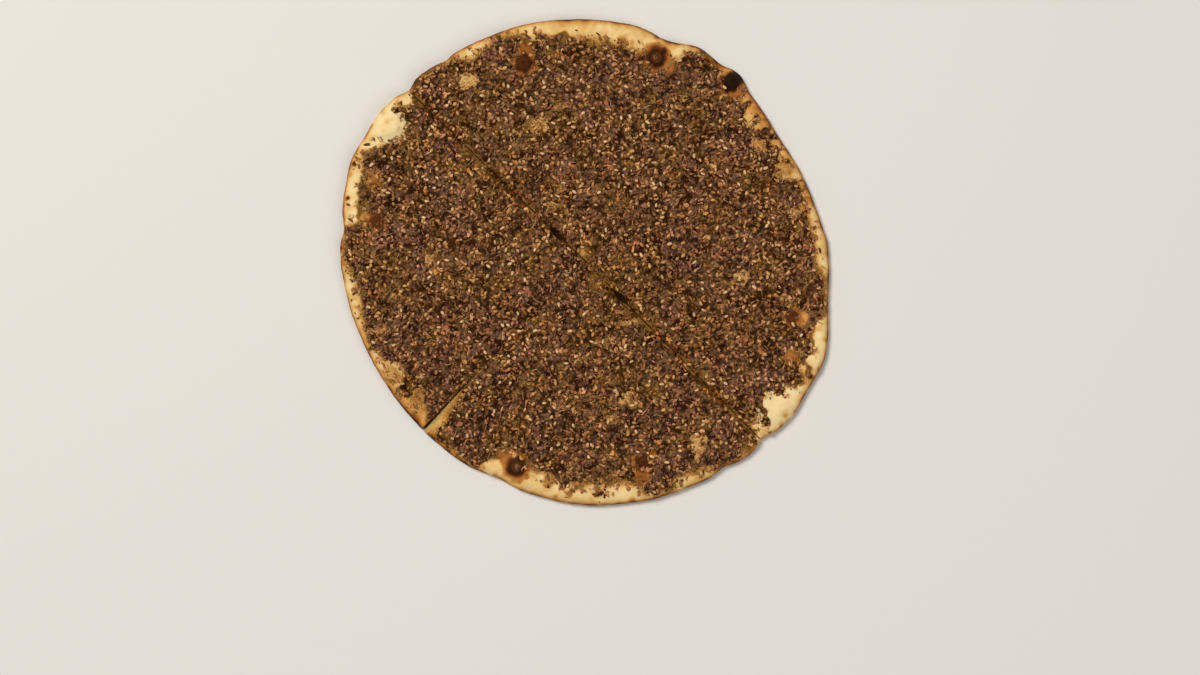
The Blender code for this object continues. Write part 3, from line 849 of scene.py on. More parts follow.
def browning(x, y):
    """How brown the dough's top is at each point, from 0 to 1."""
    angle, reach = from_rim(x, y)
    brown = 0.09 + 0.10 * bumps(x, y, 11.0, 41) + 0.05 * bumps(x, y, 3.5, 42)
    blister_noise = bumps(x, y, 3.6, 45)
    for depth, amount in EDGE_BROWNING:
        brown += amount * np.exp(-((reach / depth) ** 2)) * (1 + 0.5 * bumps(x, y, 7.0, 43))
    for place, half_width, amount in RIM_BROWNING:
        brown += amount * swell(angle, place, half_width)
    for patch, amount in HALOES:
        brown += smooth(2.4 * in_patch(x, y, patch)) * (amount - brown)
    for blister in BLISTERS:
        baked, sunk = blister.baked, min(1.0, blister.sunk)
        share = ragged_blister(x, y, blister, blister_noise * (1 - 0.55 * sunk))
        if baked < CHARRED:
            brown += smooth(1.3 * (1.4 - share)) * (baked - brown)
            continue
        brown = np.maximum(brown, HALO_BROWN * smooth(2.0 * (HALO_REACH - share)))
        brown += smooth(1.7 * (0.76 + 0.45 * baked - share)) * (baked - brown)
        brown -= 0.3 * sunk * blister_cap(x, y, blister, 0.65)
        brown += 0.4 * sunk * blister_cap(x, y, blister, 0.28)
    for place, distance, half_width, amount in SCORCHES:
        middle_x, middle_y = direction(place)
        brown += amount * cap(x, y, distance * middle_x, distance * middle_y, half_width)
    for middle_x, middle_y, size, rise in bubbles[::3]:
        brown += 0.5 * max(rise, 0.0) * cap(x, y, middle_x, middle_y, size)
    return np.clip(brown, 0.0, 1.0)


burnt_x, burnt_y = direction(51)
steps = np.array([138.0, 142.0, 146.0])
print("browning across the burnt blister:", browning(steps * burnt_x, steps * burnt_y).round(2))

# %% [markdown]
# ## Meshing a slice
#
# A slice is a sector with two straight walls and a curved rim. A grid would be coarse where the shape
# is fine and fine where it is dull, so points are set down where they are needed instead: rings close
# together on the rolled rim, a dense spread on bare dough, a sparse one under the topping. A Delaunay
# triangulation then joins them inside the outline. The same outline is copied downwards row by row
# for the walls and closed by a flat floor, which makes one closed body.

# %% Points over a slice
ARC_STEP = 0.42
WALL_STEP = 1.2
REACH = 166.0
STAGGER = 0.866
MERGE = 1e-5


def staggered_points(step, seed):
    """Staggered rows of points over the whole bread, each moved a little at random."""
    x, y = np.meshgrid(np.arange(-REACH, REACH, step), np.arange(-REACH, REACH, step * STAGGER))
    x[1::2] += step / 2
    draw = np.random.default_rng(seed)
    x += draw.uniform(-0.22, 0.22, x.shape) * step
    y += draw.uniform(-0.22, 0.22, y.shape) * step
    return x.ravel(), y.ravel()


def inside_slice(x, y, name, margin):
    first, last = SLICES[name]
    along, off = beside_cut(x, y, first)
    beyond_first = off > setback(name, first, along) + margin
    along, off = beside_cut(x, y, last)
    return beyond_first & (-off > setback(name, last, along) + margin)


def points_in(name, step, seed, margin, outer, short):
    """Staggered points inside a slice: a margin off its cuts, and short of its outer edge."""
    x, y = staggered_points(step, seed)
    angle, far = polar(x, y)
    kept = inside_slice(x, y, name, margin) & (outer(angle) - far > short)
    return x[kept], y[kept]


def slice_outline(name, outer, inset):
    """The outline from above, counter-clockwise from the slice's point, with the way back from the
    cut at each point. Outer gives the outer edge's radius, and inset draws the walls back."""
    first, last = SLICES[name]
    half_opening = math.radians((CUTS[last] - CUTS[first]) % 360 / 2)
    start = (HALF_GAP + inset) / math.tan(half_opening)
    chains = []
    for cut, side in ((first, 1), (last, -1)):
        ray_x, ray_y = direction(CUTS[cut])
        far = outer(CUTS[cut])
        for _ in range(3):
            off = float(setback(name, cut, far)) + inset
            end = math.sqrt(far ** 2 - off ** 2)
            far = float(outer(CUTS[cut] + side * math.degrees(math.atan2(off, end))))
        along = np.linspace(start, end, round((end - start) / WALL_STEP))
        off = side * (setback(name, cut, along) + inset)
        chains.append(np.stack([along * ray_x - off * ray_y, along * ray_y + off * ray_x], axis=1))
    ends = [polar(*chain[-1])[0] for chain in chains]
    span = (ends[1] - ends[0]) % 360
    angle = ends[0] + np.linspace(0, span, round(span / ARC_STEP))[1:-1]
    x, y = direction(angle)
    arc = np.stack([outer(angle) * x, outer(angle) * y], axis=1)
    outline = np.concatenate([chains[0], arc, chains[1][:0:-1]])
    inward = np.zeros_like(outline)
    ray_x, ray_y = direction(CUTS[first])
    inward[: len(chains[0])] = (-ray_y, ray_x)
    ray_x, ray_y = direction(CUTS[last])
    inward[len(chains[0]) + len(arc):] = (ray_y, -ray_x)
    return outline, inward


def triangulated(outline, inside):
    """Triangles over an outline and the points inside it, numbered outline first."""
    points = [Vector(point) for point in np.concatenate([outline, inside])]
    inside_only = 1
    result = delaunay_2d_cdt(points, [], [list(range(len(outline)))], inside_only, MERGE)
    own_number = [numbers[0] for numbers in result[3]]
    return [tuple(own_number[corner] for corner in face) for face in result[2]]


outline, inward = slice_outline("top", rim_radius, 0.0)
print("the top slice's outline has", len(outline), "points")


# %% Closing a slice and keeping numbers on its points
def closed_piece(name, top, faces, rows, floor_inside, floor_faces, masks, material):
    """Joins a top sheet, rows of walls and a floor into one mesh. The first points of the top are
    its outline, and masks holds one number for each point by name."""
    length = len(rows[0])
    points = np.concatenate([top, *rows, floor_inside])
    polygons = list(faces)
    above = np.arange(length)
    for number in range(len(rows)):
        below = len(top) + number * length + np.arange(length)
        polygons += zip(above, below, np.roll(below, -1), np.roll(above, -1))
        above = below
    shift = len(points) - len(floor_inside) - length
    for face in floor_faces:
        polygons.append(tuple(corner + shift for corner in reversed(face)))
    mesh = bpy.data.meshes.new(name)
    placed = (points + (*CROSSING, 0.0)) * MM
    mesh.from_pydata(placed.tolist(), [], [tuple(map(int, face)) for face in polygons])
    for label, numbers in masks.items():
        mesh.attributes.new(label, "FLOAT", "POINT").data.foreach_set("value", numbers.astype(np.float32))
    mesh.shade_smooth()
    mesh.materials.append(material)
    mesh.update()
    piece = bpy.data.objects.new(name, mesh)
    bpy.context.scene.collection.objects.link(piece)
    return piece


def triangles_in(piece):
    return sum(len(polygon.vertices) - 2 for polygon in piece.data.polygons)


print("ready to build slices")

# %% [markdown]
# ## The baked crust's finish
#
# Dough browns along a known path: cream, gold, orange brown, dark brown, black. The strip of colours
# below is that path, and the browning number picks a place on it after the uneven tone has moved it a
# little, so that no edge between two shades is clean. Down in the two gaping slits the same strip paints
# shade, near black, on the walls. Where the wheel has opened the crust, the crumb inside is paler. Oil
# from the topping soaks into everything near it.

# %% Crust material
CRUST_COLOURS = (
    (0.00, tint(246, 222, 168)), (0.14, tint(232, 196, 130)), (0.28, tint(212, 160, 88)),
    (0.42, tint(184, 122, 56)), (0.56, tint(138, 80, 36)), (0.70, tint(92, 48, 22)),
    (0.85, tint(52, 27, 14)), (1.00, tint(32, 17, 10)),
)
CRUMB_COLOUR = tint(186, 165, 110)
DUST_COLOUR = tint(88, 60, 32)
DUST_GRAIN = 1.0


def crust_material():
    material, tree, shader = new_material("baked_crust", 0.7, 0.12, WARM_GLOSS)
    tone = use_group(tree, uneven_tone, patch_size=7.0, speck_size=0.9, amount=0.34)["Tone"]
    # The strip also paints the slits' shade, where the walls' browning has been raised near black.
    baked = strip(tree, moved_by(tree, mask(tree, "browning"), tone), CRUST_COLOURS)
    crumb = times(tree, mask(tree, "crumb"), 0.85)
    opened = blend(tree, crumb, baked, CRUMB_COLOUR)
    patchy_oil = spread(tree, moved_by(tree, mask(tree, "oil"), tone), 0.05, 0.95)
    soaked = use_group(tree, oil_soak, colour=opened, oil=patchy_oil, dry_roughness=0.72)
    specks = spread(tree, noise(tree, in_millimetres(tree), DUST_GRAIN), 0.46, 0.60, 0.1, 1.0)
    dusted = times(tree, times(tree, specks, mask(tree, "dust")), 0.7)
    tree.links.new(blend(tree, dusted, soaked["Colour"], DUST_COLOUR), shader.inputs["Base Color"])
    matt = plus(tree, soaked["Roughness"], mask(tree, "inside_cut"), clamp=True)
    tree.links.new(matt, shader.inputs["Roughness"])
    grain = use_group(tree, fine_grain, pore_size=1.1, dust_size=0.3, dust_share=0.35)["Height"]
    show_bumps(tree, shader, grain, 0.5, 0.0006)
    return material


baked_crust = crust_material()
print("crust colours:", len(CRUST_COLOURS))

# %% [markdown]
# ## The four pieces of crust
#
# Each piece has a rolled rim that turns under at its foot, two cut walls with a torn crumb, and a flat
# base that has browned on the oven's floor.

# %% Crust pieces
RIM_RINGS = (0.06, 0.24, 0.55, 0.95, 1.45, 2.05, 2.75)
FINE_STEP = 0.85
SPARSE_STEP = 2.7
FINE_COVER = 2.6
FINE_BESIDE_CUT = 3.2
WALL_ROWS = 7
UNDER_REACH = 6.0
CRUMB_RELIEF = 0.12
FLOOR_STEP = 7.0
# The underside's blotches: size, amount and seed.
UNDERSIDE_BLOTCHES = ((17.0, 0.22, 61), (6.0, 0.14, 62), (2.0, 0.05, 63))
# From where the lean starts, the leaning wall opens fully over this length.
OPEN_WALL_GROWTH = 20.0


def crust_field(name):
    """Where the crust needs points inside its outline."""
    angle = np.arange(0, 360, ARC_STEP)
    rings = [(rim_radius(angle) - reach) * np.array(direction(angle)) for reach in RIM_RINGS]
    x, y = np.concatenate(rings, axis=1)
    kept = inside_slice(x, y, name, 0.35)
    chosen = [np.stack([x[kept], y[kept]], axis=1)]
    for step, wants_fine in ((FINE_STEP, True), (SPARSE_STEP, False)):
        x, y = points_in(name, step, 51, 0.45 * step, rim_radius, RIM_RINGS[-1] + 0.5 * step)
        fine = (cover(x, y) < FINE_COVER) | (cut_distance(x, y) < FINE_BESIDE_CUT)
        chosen.append(np.stack([x, y], axis=1)[fine == wants_fine])
    return np.concatenate(chosen)


def underside_browning(x, y):
    blotches = 0.42 + sum(amount * bumps(x, y, size, seed) for size, amount, seed in UNDERSIDE_BLOTCHES)
    return np.clip(blotches + 0.25 * np.maximum(0, bumps(x, y, 26.0, 64)), 0.05, 0.95)


def wall_gap(name, x, y, inward):
    """Half the gap of the cut that each point of the outline stands on."""
    first, last = SLICES[name]
    earlier = np.arange(len(x)) < len(x) / 2
    gaps = [half_gap(cut, beside_cut(x, y, cut)[0]) for cut in (first, last)]
    return np.where(np.abs(inward).sum(axis=1) > 0, np.where(earlier, *gaps), 0.0)


def crust_rows(name, outline, inward, edge_height):
    """The rows of the wall below the top's edge, from the first to the foot."""
    x, y = outline.T
    angle, far = polar(x, y)
    under = UNDERCUT * np.clip(1 - (rim_radius(angle) - far) / UNDER_REACH, 0, 1) ** 2
    closing = wall_gap(name, x, y, inward)
    leaning = np.zeros(len(x))
    if name == LEANING_SLICE:
        along, _ = beside_cut(x, y, LEANING_CUT)
        on_first_wall = (np.abs(inward).sum(axis=1) > 0) & (np.arange(len(x)) < len(x) / 2)
        back = setback(name, LEANING_CUT, along) - half_gap(LEANING_CUT, along)
        leaning = np.where(on_first_wall, back, 0.0)
    rows = []
    for number in range(1, WALL_ROWS + 1):
        turn = number / WALL_ROWS * math.pi / 2
        height = edge_height * (1 - math.sin(turn))
        shrink = 1 - under * (1 - math.cos(turn)) / far
        torn = CRUMB_RELIEF * bumps(x + 2.3 * y, 2.5 * height + 40 * number, 1.6, 71) * math.cos(turn)
        back = torn - leaning * math.sin(turn) ** 0.35 - closing * math.sin(turn) ** 3
        row = np.stack([x * shrink + inward[:, 0] * back, y * shrink + inward[:, 1] * back, height], axis=1)
        row[0, :2] = outline[0] * (1 - math.sin(turn) ** 3)
        rows.append(row)
    return rows


def crust_masks(name, outline, inward, x, y, rows, floor_x, floor_y):
    """The numbers that the finish reads, for the top's points, then the walls' and then the floor's."""
    length = len(outline)
    on_wall = np.abs(inward).sum(axis=1) > 0
    opening = wall_gap(name, *outline.T, inward) - HALF_GAP
    # How far a wall gapes in a slit, from 0 to 1. There the walls are painted near black as shade, and their
    # crumb, oil and dust fall away.
    slit_shade = np.clip(opening / max(most for _, _, most in SLITS.values()), 0.0, 1.0)
    open_wall = np.zeros(length)
    if name == LEANING_SLICE:
        along, off = beside_cut(*outline.T, LEANING_CUT)
        open_wall = smooth((along - LEAN_START) / OPEN_WALL_GROWTH) * (off < LEAN_AT_RIM + 1)
    top = {"browning": browning(x, y), "oil": oil(x, y), "crumb": np.zeros(len(x)), "dust": dust(x, y)}
    edge = {label: numbers[:length] for label, numbers in top.items()}
    cut = {
        # In the slits this browning is painted shade, near black.
        "browning": np.clip(0.62 * (1 - open_wall) + 0.8 * slit_shade, 0.12, 0.95),
        "oil": edge["oil"] * (1 - slit_shade) * (1 - 0.45 * open_wall),
        "crumb": 0.1 * (1 - slit_shade) + 0.9 * open_wall,
        "dust": 0.6 * (1 - slit_shade) * (1 - 0.35 * open_wall),
    }
    parts = {label: [numbers] for label, numbers in top.items()}
    for number, row in enumerate(rows, start=1):
        share = number / WALL_ROWS
        below = underside_browning(row[:, 0], row[:, 1])
        for label in parts:
            rim = edge[label] * (1 - share)
            if label == "browning":
                rim = edge[label] * (1 - share ** 3) + below * share ** 3
            parts[label].append(np.where(on_wall & (number < WALL_ROWS), cut[label], rim))
    for label in parts:
        under = underside_browning(floor_x, floor_y) if label == "browning" else np.zeros(len(floor_x))
        parts[label].append(under)
    walls = np.tile(on_wall.astype(float), WALL_ROWS)
    parts["inside_cut"] = [np.zeros(len(x)), walls, np.zeros(len(floor_x))]
    return {label: np.concatenate(numbers) for label, numbers in parts.items()}


def make_crust(name):
    outline, inward = slice_outline(name, rim_radius, 0.0)
    flat = np.concatenate([outline, crust_field(name)])
    faces = triangulated(outline, flat[len(outline):])
    x, y = flat.T
    top = np.stack([x, y, dough_height(x, y)], axis=1)
    rows = crust_rows(name, outline, inward, top[: len(outline), 2])
    floor_x, floor_y = points_in(name, FLOOR_STEP, 52, 2.0, rim_radius, UNDERCUT + 2.0)
    floor_inside = np.stack([floor_x, floor_y, 0 * floor_x], axis=1)
    floor_faces = triangulated(rows[-1][:, :2], floor_inside[:, :2])
    masks = crust_masks(name, outline, inward, x, y, rows, floor_x, floor_y)
    piece = closed_piece("crust_" + name, top, faces, rows, floor_inside, floor_faces, masks, baked_crust)
    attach(piece, "root")
    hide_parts("dough_" + name)
    return piece


for slice_name in SLICE_NAMES:
    print(slice_name, "crust:", triangles_in(make_crust(slice_name)), "triangles")

# %% [markdown]
# ## The colours of the herbs
#
# The dried thyme in za'atar is not one green. After baking in oil it runs from near black through
# brown and dull olive to greyish tan, with a reddish purple from the sumac. One group holds that strip,
# so the paste under the loose bits and the bits themselves stay one family of colours.

# %% Herb colours, and the finish of the paste
HERB_COLOURS = (
    (0.00, tint(56, 29, 9)), (0.12, tint(100, 72, 40)), (0.28, tint(130, 98, 78)),
    (0.42, tint(140, 116, 76)), (0.56, tint(158, 116, 78)), (0.70, tint(174, 110, 70)),
    (0.84, tint(196, 142, 90)), (1.00, tint(224, 174, 118)),
)
# Whole patches of the topping lean towards a cool grey or towards golden oil.
COOL_CAST = tint(249, 232, 254)
WARM_CAST = tint(252, 240, 189)
CAST_SIZE = 13.0


def build_herb_colour():
    tree, given, result = new_group("herb_colour", (("Tone", "Float", 0.5),), (("Colour", "Color"),))
    wander = use_group(tree, uneven_tone, patch_size=9.0, speck_size=0.8, amount=1.4)["Tone"]
    herbs = strip(tree, moved_by(tree, given["Tone"], wander), HERB_COLOURS)
    warmth = spread(tree, noise(tree, in_millimetres(tree), CAST_SIZE), 0.36, 0.64)
    cast = blend(tree, warmth, COOL_CAST, WARM_CAST)
    tree.links.new(blend(tree, 1.0, herbs, cast, "MULTIPLY"), result["Colour"])
    return tree


herb_colour = build_herb_colour()
PASTE_CELL = 2.0
# Painted shade for the pits between clumps of topping.
PIT_SHADE_COLOUR = tint(40, 17, 3)


def paste_material():
    material, tree, shader = new_material("herb_paste", 0.6, 0.1, WARM_GLOSS)
    place = in_millimetres(tree)
    cells = add(tree, "ShaderNodeTexVoronoi", {"Vector": place, "Scale": 1 / PASTE_CELL, "Randomness": 1.0})
    pick = add(tree, "ShaderNodeSeparateColor", {0: cells.outputs["Color"]}).outputs[0]
    flecks = use_group(tree, herb_colour, tone=times(tree, pick, 0.4))["Colour"]
    # Each fleck darkens towards its edge: painted shade in the cracks between flecks. The same number is the
    # cracks' bump height.
    crack_height_and_shade = spread(tree, cells.outputs["Distance"], 0.25, 0.75, 1.0, 0.25)
    shaded = blend(tree, 1.0, flecks, crack_height_and_shade, "MULTIPLY")
    # The pits between clumps are painted near black as shade, on top of their real depth.
    pit_shaded = blend(tree, times(tree, mask(tree, "pit_shade"), 0.85), shaded, PIT_SHADE_COLOUR)
    soak_finish(tree, shader, pit_shaded, mask(tree, "oil"), 0.62)
    show_bumps(tree, shader, crack_height_and_shade, 0.8, 0.0005)
    return material


herb_paste = paste_material()
print("herb colours:", len(HERB_COLOURS))

# %% [markdown]
# ## The topping's body
#
# Under the loose bits lies a paste of herbs, oil and half-sunk seeds, little more than a millimetre
# thick. It follows the dough, swells into small heaps with cracks between them, and thins out at its
# edge. Where the cover is below zero it dips under the dough, so bare rim, blisters and worn patches
# show through it with a naturally ragged edge.

# %% Topping pieces
TOPPING_THICKNESS = 1.25
TOPPING_EASE = 2.6
PASTE_STEP = 0.8
PASTE_REACH = 3.0
PASTE_INSET = -0.1
PASTE_DEPTH = 0.8
# The paste ends this far inside the loose bits' edge, and dips under the dough there.
PASTE_BACK = 1.5
DIP = 0.5
# Sizes and heights of the fine heaps, and of the broader clumps under them.
HEAPS = ((2.4, 0.36), (1.25, 0.24))
CLUMP_SIZE = 5.5
CLUMP_HEIGHT = 0.55
PIT_SIZE = 4.0
PIT_DEPTH = 0.8
WIPED_REACH = 4.5


def paste_outer(angle):
    """The radius at which a topping piece ends, a little past the topping's edge and under the dough."""
    strewn = sum(reach * swell(angle, place, half_width) for place, half_width, reach in STREWN)
    return rim_radius(angle) - np.maximum(bare_rim(angle) - PASTE_REACH - strewn, 1.0)


def pits(x, y):
    """1 in the holes between clumps of topping, and 0 elsewhere; the paste's finish paints these holes near
    black as shade.
    """
    return smooth((bumps(x, y, PIT_SIZE, 84) - 0.28) / 0.3)


def beside_dragged_cuts(x, y):
    """1 along the two slit cuts, fading towards the crossing, and 0 from WIPED_REACH beside them."""
    close = np.zeros(np.shape(x))
    for cut in SLITS:
        along, off = beside_cut(x, y, cut)
        close = np.maximum(close, smooth((WIPED_REACH - abs(off)) / 3.0) * smooth(along / 20))
    return close * np.clip(0.75 + 0.9 * bumps(x, y, 17.0, 37), 0.15, 1.0)


def topping_height(x, y):
    """The top of the spread topping with its clumps and pits, but not its finer heaps."""
    angle, far = polar(x, y)
    inside = np.minimum(cover(x, y) - PASTE_BACK, paste_outer(angle) - far - 0.6)
    full = smooth(inside / TOPPING_EASE)
    lift = TOPPING_THICKNESS * full + full * CLUMP_HEIGHT * (heaps(x, y, CLUMP_SIZE, 86) - 0.7)
    return dough_height(x, y) + lift - full * PIT_DEPTH * pits(x, y), inside


def paste_height(x, y):
    height, inside = topping_height(x, y)
    rough = sum(amount * (heaps(x, y, size, 81) - 0.6) for size, amount in HEAPS)
    rough += 0.2 * bumps(x, y, 7.0, 83)
    return height + rough * smooth((inside + 0.2) / 1.4) - DIP * smooth(-inside / 0.8)


def make_paste(name):
    outline, _ = slice_outline(name, paste_outer, PASTE_INSET)
    parts = []
    for step, wants_fine in ((PASTE_STEP, True), (SPARSE_STEP, False)):
        x, y = points_in(name, step, 53, PASTE_INSET + 0.45 * step, paste_outer, 0.5 * step)
        parts.append(np.stack([x, y], axis=1)[(cover(x, y) > -1.2) == wants_fine])
    flat = np.concatenate([outline, *parts])
    faces = triangulated(outline, flat[len(outline):])
    x, y = flat.T
    top = np.stack([x, y, paste_height(x, y)], axis=1)
    foot = np.stack([*outline.T, main_height(*outline.T) - PASTE_DEPTH], axis=1)
    middle = (top[: len(outline)] + foot) / 2
    floor_x, floor_y = points_in(name, SPARSE_STEP, 54, 1.5, paste_outer, 1.5)
    floor_inside = np.stack([floor_x, floor_y, main_height(floor_x, floor_y) - PASTE_DEPTH], axis=1)
    floor_faces = triangulated(outline, floor_inside[:, :2])
    rest = np.zeros(2 * len(outline) + len(floor_inside))
    soak = np.maximum(most_of(x, y, OILY_PATCHES), 0.8 * beside_dragged_cuts(x, y))
    # The first mask tells the finish where to paint the pits' shade.
    masks = {"pit_shade": np.concatenate([pits(x, y), rest]), "oil": np.concatenate([0.2 + 0.7 * soak, rest])}
    rows = [middle, foot]
    piece = closed_piece("paste_" + name, top, faces, rows, floor_inside, floor_faces, masks, herb_paste)
    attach(piece, "root")
    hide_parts("topping_" + name)
    return piece


for slice_name in SLICE_NAMES:
    print(slice_name, "topping:", triangles_in(make_paste(slice_name)), "triangles")

# %% [markdown]
# ## Shapes for the loose bits
#
# A sesame seed is a flat drop, 3.3 millimetres long. Crushed thyme leaves are slivers that have curled
# as they dried, and under them lie flat broken flakes. Every kind gets a few different shapes with a
# few dozen faces at most, because each is set down thousands of times. They are drawn here in
# millimetres and kept in a collection for each kind.

# %% Rings joined into a small closed body
def ringed_body(name, rings, tips, smooth_faces):
    """A small body along X from rings of points and a tip at each end."""
    shape = bmesh.new()
    made = [[shape.verts.new(Vector(point) * MM) for point in ring] for ring in rings]
    start, end = (shape.verts.new(Vector(tip) * MM) for tip in tips)
    for ring, onward in zip(made, made[1:]):
        for index in range(len(ring)):
            after = (index + 1) % len(ring)
            shape.faces.new((ring[index], onward[index], onward[after], ring[after]))
    for index in range(len(made[0])):
        after = (index + 1) % len(made[0])
        shape.faces.new((start, made[0][index], made[0][after]))
        shape.faces.new((end, made[-1][after], made[-1][index]))
    bmesh.ops.recalc_face_normals(shape, faces=shape.faces)
    mesh = bpy.data.meshes.new(name)
    shape.to_mesh(mesh)
    shape.free()
    if smooth_faces:
        mesh.shade_smooth()
    return bpy.data.objects.new(name, mesh)


def seed_shape(number, length, width, thickness):
    """A flat drop with six sides."""
    rings = []
    for share, fullness in ((-0.66, 0.62), (-0.05, 1.0), (0.62, 0.74)):
        ring = []
        for index in range(6):
            across, up = direction(60 * index)
            ring.append((share * length / 2, across * fullness * width / 2, up * fullness * thickness / 2))
        rings.append(ring)
    return ringed_body(f"seed_{number}", rings, ((-length / 2, 0, 0), (length / 2, 0, 0)), True)


def curl_shape(number, length, width, rise, bend, twist):
    """A sliver of dry leaf: three sides, pointed ends, bent along its length and twisted."""
    def along(share):
        turn = math.radians(bend) * share
        radius = length / math.radians(bend)
        return Vector((radius * math.sin(turn), 0, radius * (1 - math.cos(turn))))

    rings = []
    for share, fullness in ((-0.3, 0.8), (0.02, 1.0), (0.3, 0.7)):
        ring = []
        for across, up in ((-width / 2, 0.0), (width / 2, 0.1 * rise), (0.05 * width, rise)):
            point = Vector((0, across * fullness, up * fullness))
            point.rotate(Matrix.Rotation(math.radians(twist * share), 3, "X"))
            ring.append(along(share) + point)
        rings.append(ring)
    return ringed_body(f"curl_{number}", rings, (along(-0.5), along(0.5)), False)


SEEDS = ((3.4, 2.05, 1.1), (3.2, 1.95, 1.05), (3.6, 2.0, 1.15))
CURLS = (
    (3.8, 1.2, 0.55, 70, 60), (3.0, 1.4, 0.6, 110, -40), (2.6, 1.1, 0.5, 50, 90), (5.4, 0.6, 0.4, 75, 100),
    (4.4, 1.0, 0.5, 90, 120), (2.4, 1.4, 0.6, 80, -80), (4.4, 0.55, 0.35, 120, -70),
)
seed_shapes = [seed_shape(number, *sizes) for number, sizes in enumerate(SEEDS)]
curl_shapes = [curl_shape(number, *sizes) for number, sizes in enumerate(CURLS)]
print(len(seed_shapes), "seed shapes and", len(curl_shapes), "curled slivers")


# %% Flakes, sumac bits and stems
def flake_shape(number, length, width, cup, sides, seed):
    """A broken flake: a ragged rim, cupped, closed by a point above and one below its middle."""
    draw = np.random.default_rng(seed)
    rim = []
    for index in range(sides):
        across, up = direction(360 * (index + draw.uniform(-0.25, 0.25)) / sides)
        size = draw.uniform(0.75, 1.1)
        rim.append((across * size * length / 2, up * size * width / 2, draw.uniform(-0.3, 0.55)))
    shape = bmesh.new()
    ring = [shape.verts.new(Vector(point) * MM) for point in rim]
    for middle in (Vector((0, 0, cup)), Vector((0, 0, cup - 0.3))):
        top = shape.verts.new(middle * MM)
        for index in range(sides):
            shape.faces.new((top, ring[index], ring[(index + 1) % sides]))
    bmesh.ops.recalc_face_normals(shape, faces=shape.faces)
    mesh = bpy.data.meshes.new("flake")
    shape.to_mesh(mesh)
    shape.free()
    return bpy.data.objects.new(f"flake_{number}", mesh)


def stem_shape(number, length, thickness, bend):
    """A thin dry stem: four sides, tapered, bent in one arc."""
    rings = []
    radius = length / math.radians(bend)
    for share in (-0.42, -0.15, 0.15, 0.42):
        turn = math.radians(bend) * share
        middle = Vector((radius * math.sin(turn), radius * (1 - math.cos(turn)), 0))
        size = thickness / 2 * (1 - 0.5 * (share + 0.42))
        corners = ((1, 0), (0, 1), (-1, 0), (0, -1))
        rings.append([middle + Vector((0, across * size, up * size)) for across, up in corners])
    ends = []
    for share in (-0.5, 0.5):
        turn = math.radians(bend) * share
        ends.append(Vector((radius * math.sin(turn), radius * (1 - math.cos(turn)), 0)))
    return ringed_body(f"stem_{number}", rings, ends, True)


FLAKES = (
    (4.0, 2.7, 0.4, 6), (3.2, 2.4, -0.15, 5), (2.3, 1.8, 0.5, 5), (4.4, 1.9, 0.3, 6), (2.9, 2.6, 0.35, 6),
)
SUMAC = ((2.8, 2.0, 0.7, 5), (2.1, 1.6, 0.6, 5), (3.2, 1.7, 0.6, 6))
CRUMBS = ((1.5, 1.1, 0.4, 5), (1.1, 0.8, 0.35, 5), (2.0, 0.9, 0.4, 5))
STEMS = ((6.5, 0.45, 40), (4.5, 0.4, 70), (8.0, 0.4, 55))
flake_shapes = [flake_shape(number, *sizes, 91 + number) for number, sizes in enumerate(FLAKES)]
sumac_shapes = [flake_shape(10 + number, *sizes, 101 + number) for number, sizes in enumerate(SUMAC)]
crumb_shapes = [flake_shape(20 + number, *sizes, 111 + number) for number, sizes in enumerate(CRUMBS)]
stem_shapes = [stem_shape(number, *sizes) for number, sizes in enumerate(STEMS)]
print(len(flake_shapes), "flakes,", len(sumac_shapes), "sumac bits and", len(stem_shapes), "stems")

# %% [markdown]
# ## Finishes of the loose bits
#
# Each bit carries a random number called tone. A toasted seed or a darker leaf is just another tone, so
# one material serves a whole kind. Oil leaves a slight gloss on all of them.

# %% Materials for seeds, leaves, sumac and stems
SEED_COLOURS = (
    (0.00, tint(112, 70, 38)), (0.28, tint(152, 102, 60)), (0.56, tint(186, 134, 82)),
    (0.84, tint(208, 158, 102)),
    (1.00, tint(234, 194, 142)),
)
SUMAC_COLOURS = ((0.0, tint(88, 48, 32)), (0.5, tint(128, 78, 54)), (1.0, tint(164, 110, 76)))
STEM_COLOURS = ((0.0, tint(150, 118, 72)), (1.0, tint(208, 182, 136)))


def bit_material(name, colours, speck, roughness, grain_size):
    material, tree, shader = new_material(name, roughness, 0.2, WARM_GLOSS)
    wander = use_group(tree, uneven_tone, patch_size=2.0, speck_size=speck, amount=0.5)["Tone"]
    moved = plus(tree, mask(tree, "tone"), times(tree, minus(tree, wander, 0.5), 0.7))
    tree.links.new(strip(tree, moved, colours), shader.inputs["Base Color"])
    grain = use_group(tree, fine_grain, pore_size=grain_size, dust_size=0.15, dust_share=0.3)["Height"]
    bump = add(tree, "ShaderNodeBump", {"Height": grain, "Strength": 0.3, "Distance": 0.0003})
    tree.links.new(bump.outputs["Normal"], shader.inputs["Normal"])
    return material


def leaf_material():
    material, tree, shader = new_material("dry_thyme", 0.55, 0.12, WARM_GLOSS)
    colour = use_group(tree, herb_colour, tone=mask(tree, "tone"))["Colour"]
    soaked = use_group(tree, oil_soak, colour=colour, oil=mask(tree, "soak"), dry_roughness=0.58)
    tree.links.new(soaked["Colour"], shader.inputs["Base Color"])
    tree.links.new(soaked["Roughness"], shader.inputs["Roughness"])
    grain = use_group(tree, fine_grain, pore_size=0.6, dust_size=0.15, dust_share=0.4)["Height"]
    bump = add(tree, "ShaderNodeBump", {"Height": grain, "Strength": 0.4, "Distance": 0.0003})
    tree.links.new(bump.outputs["Normal"], shader.inputs["Normal"])
    return material


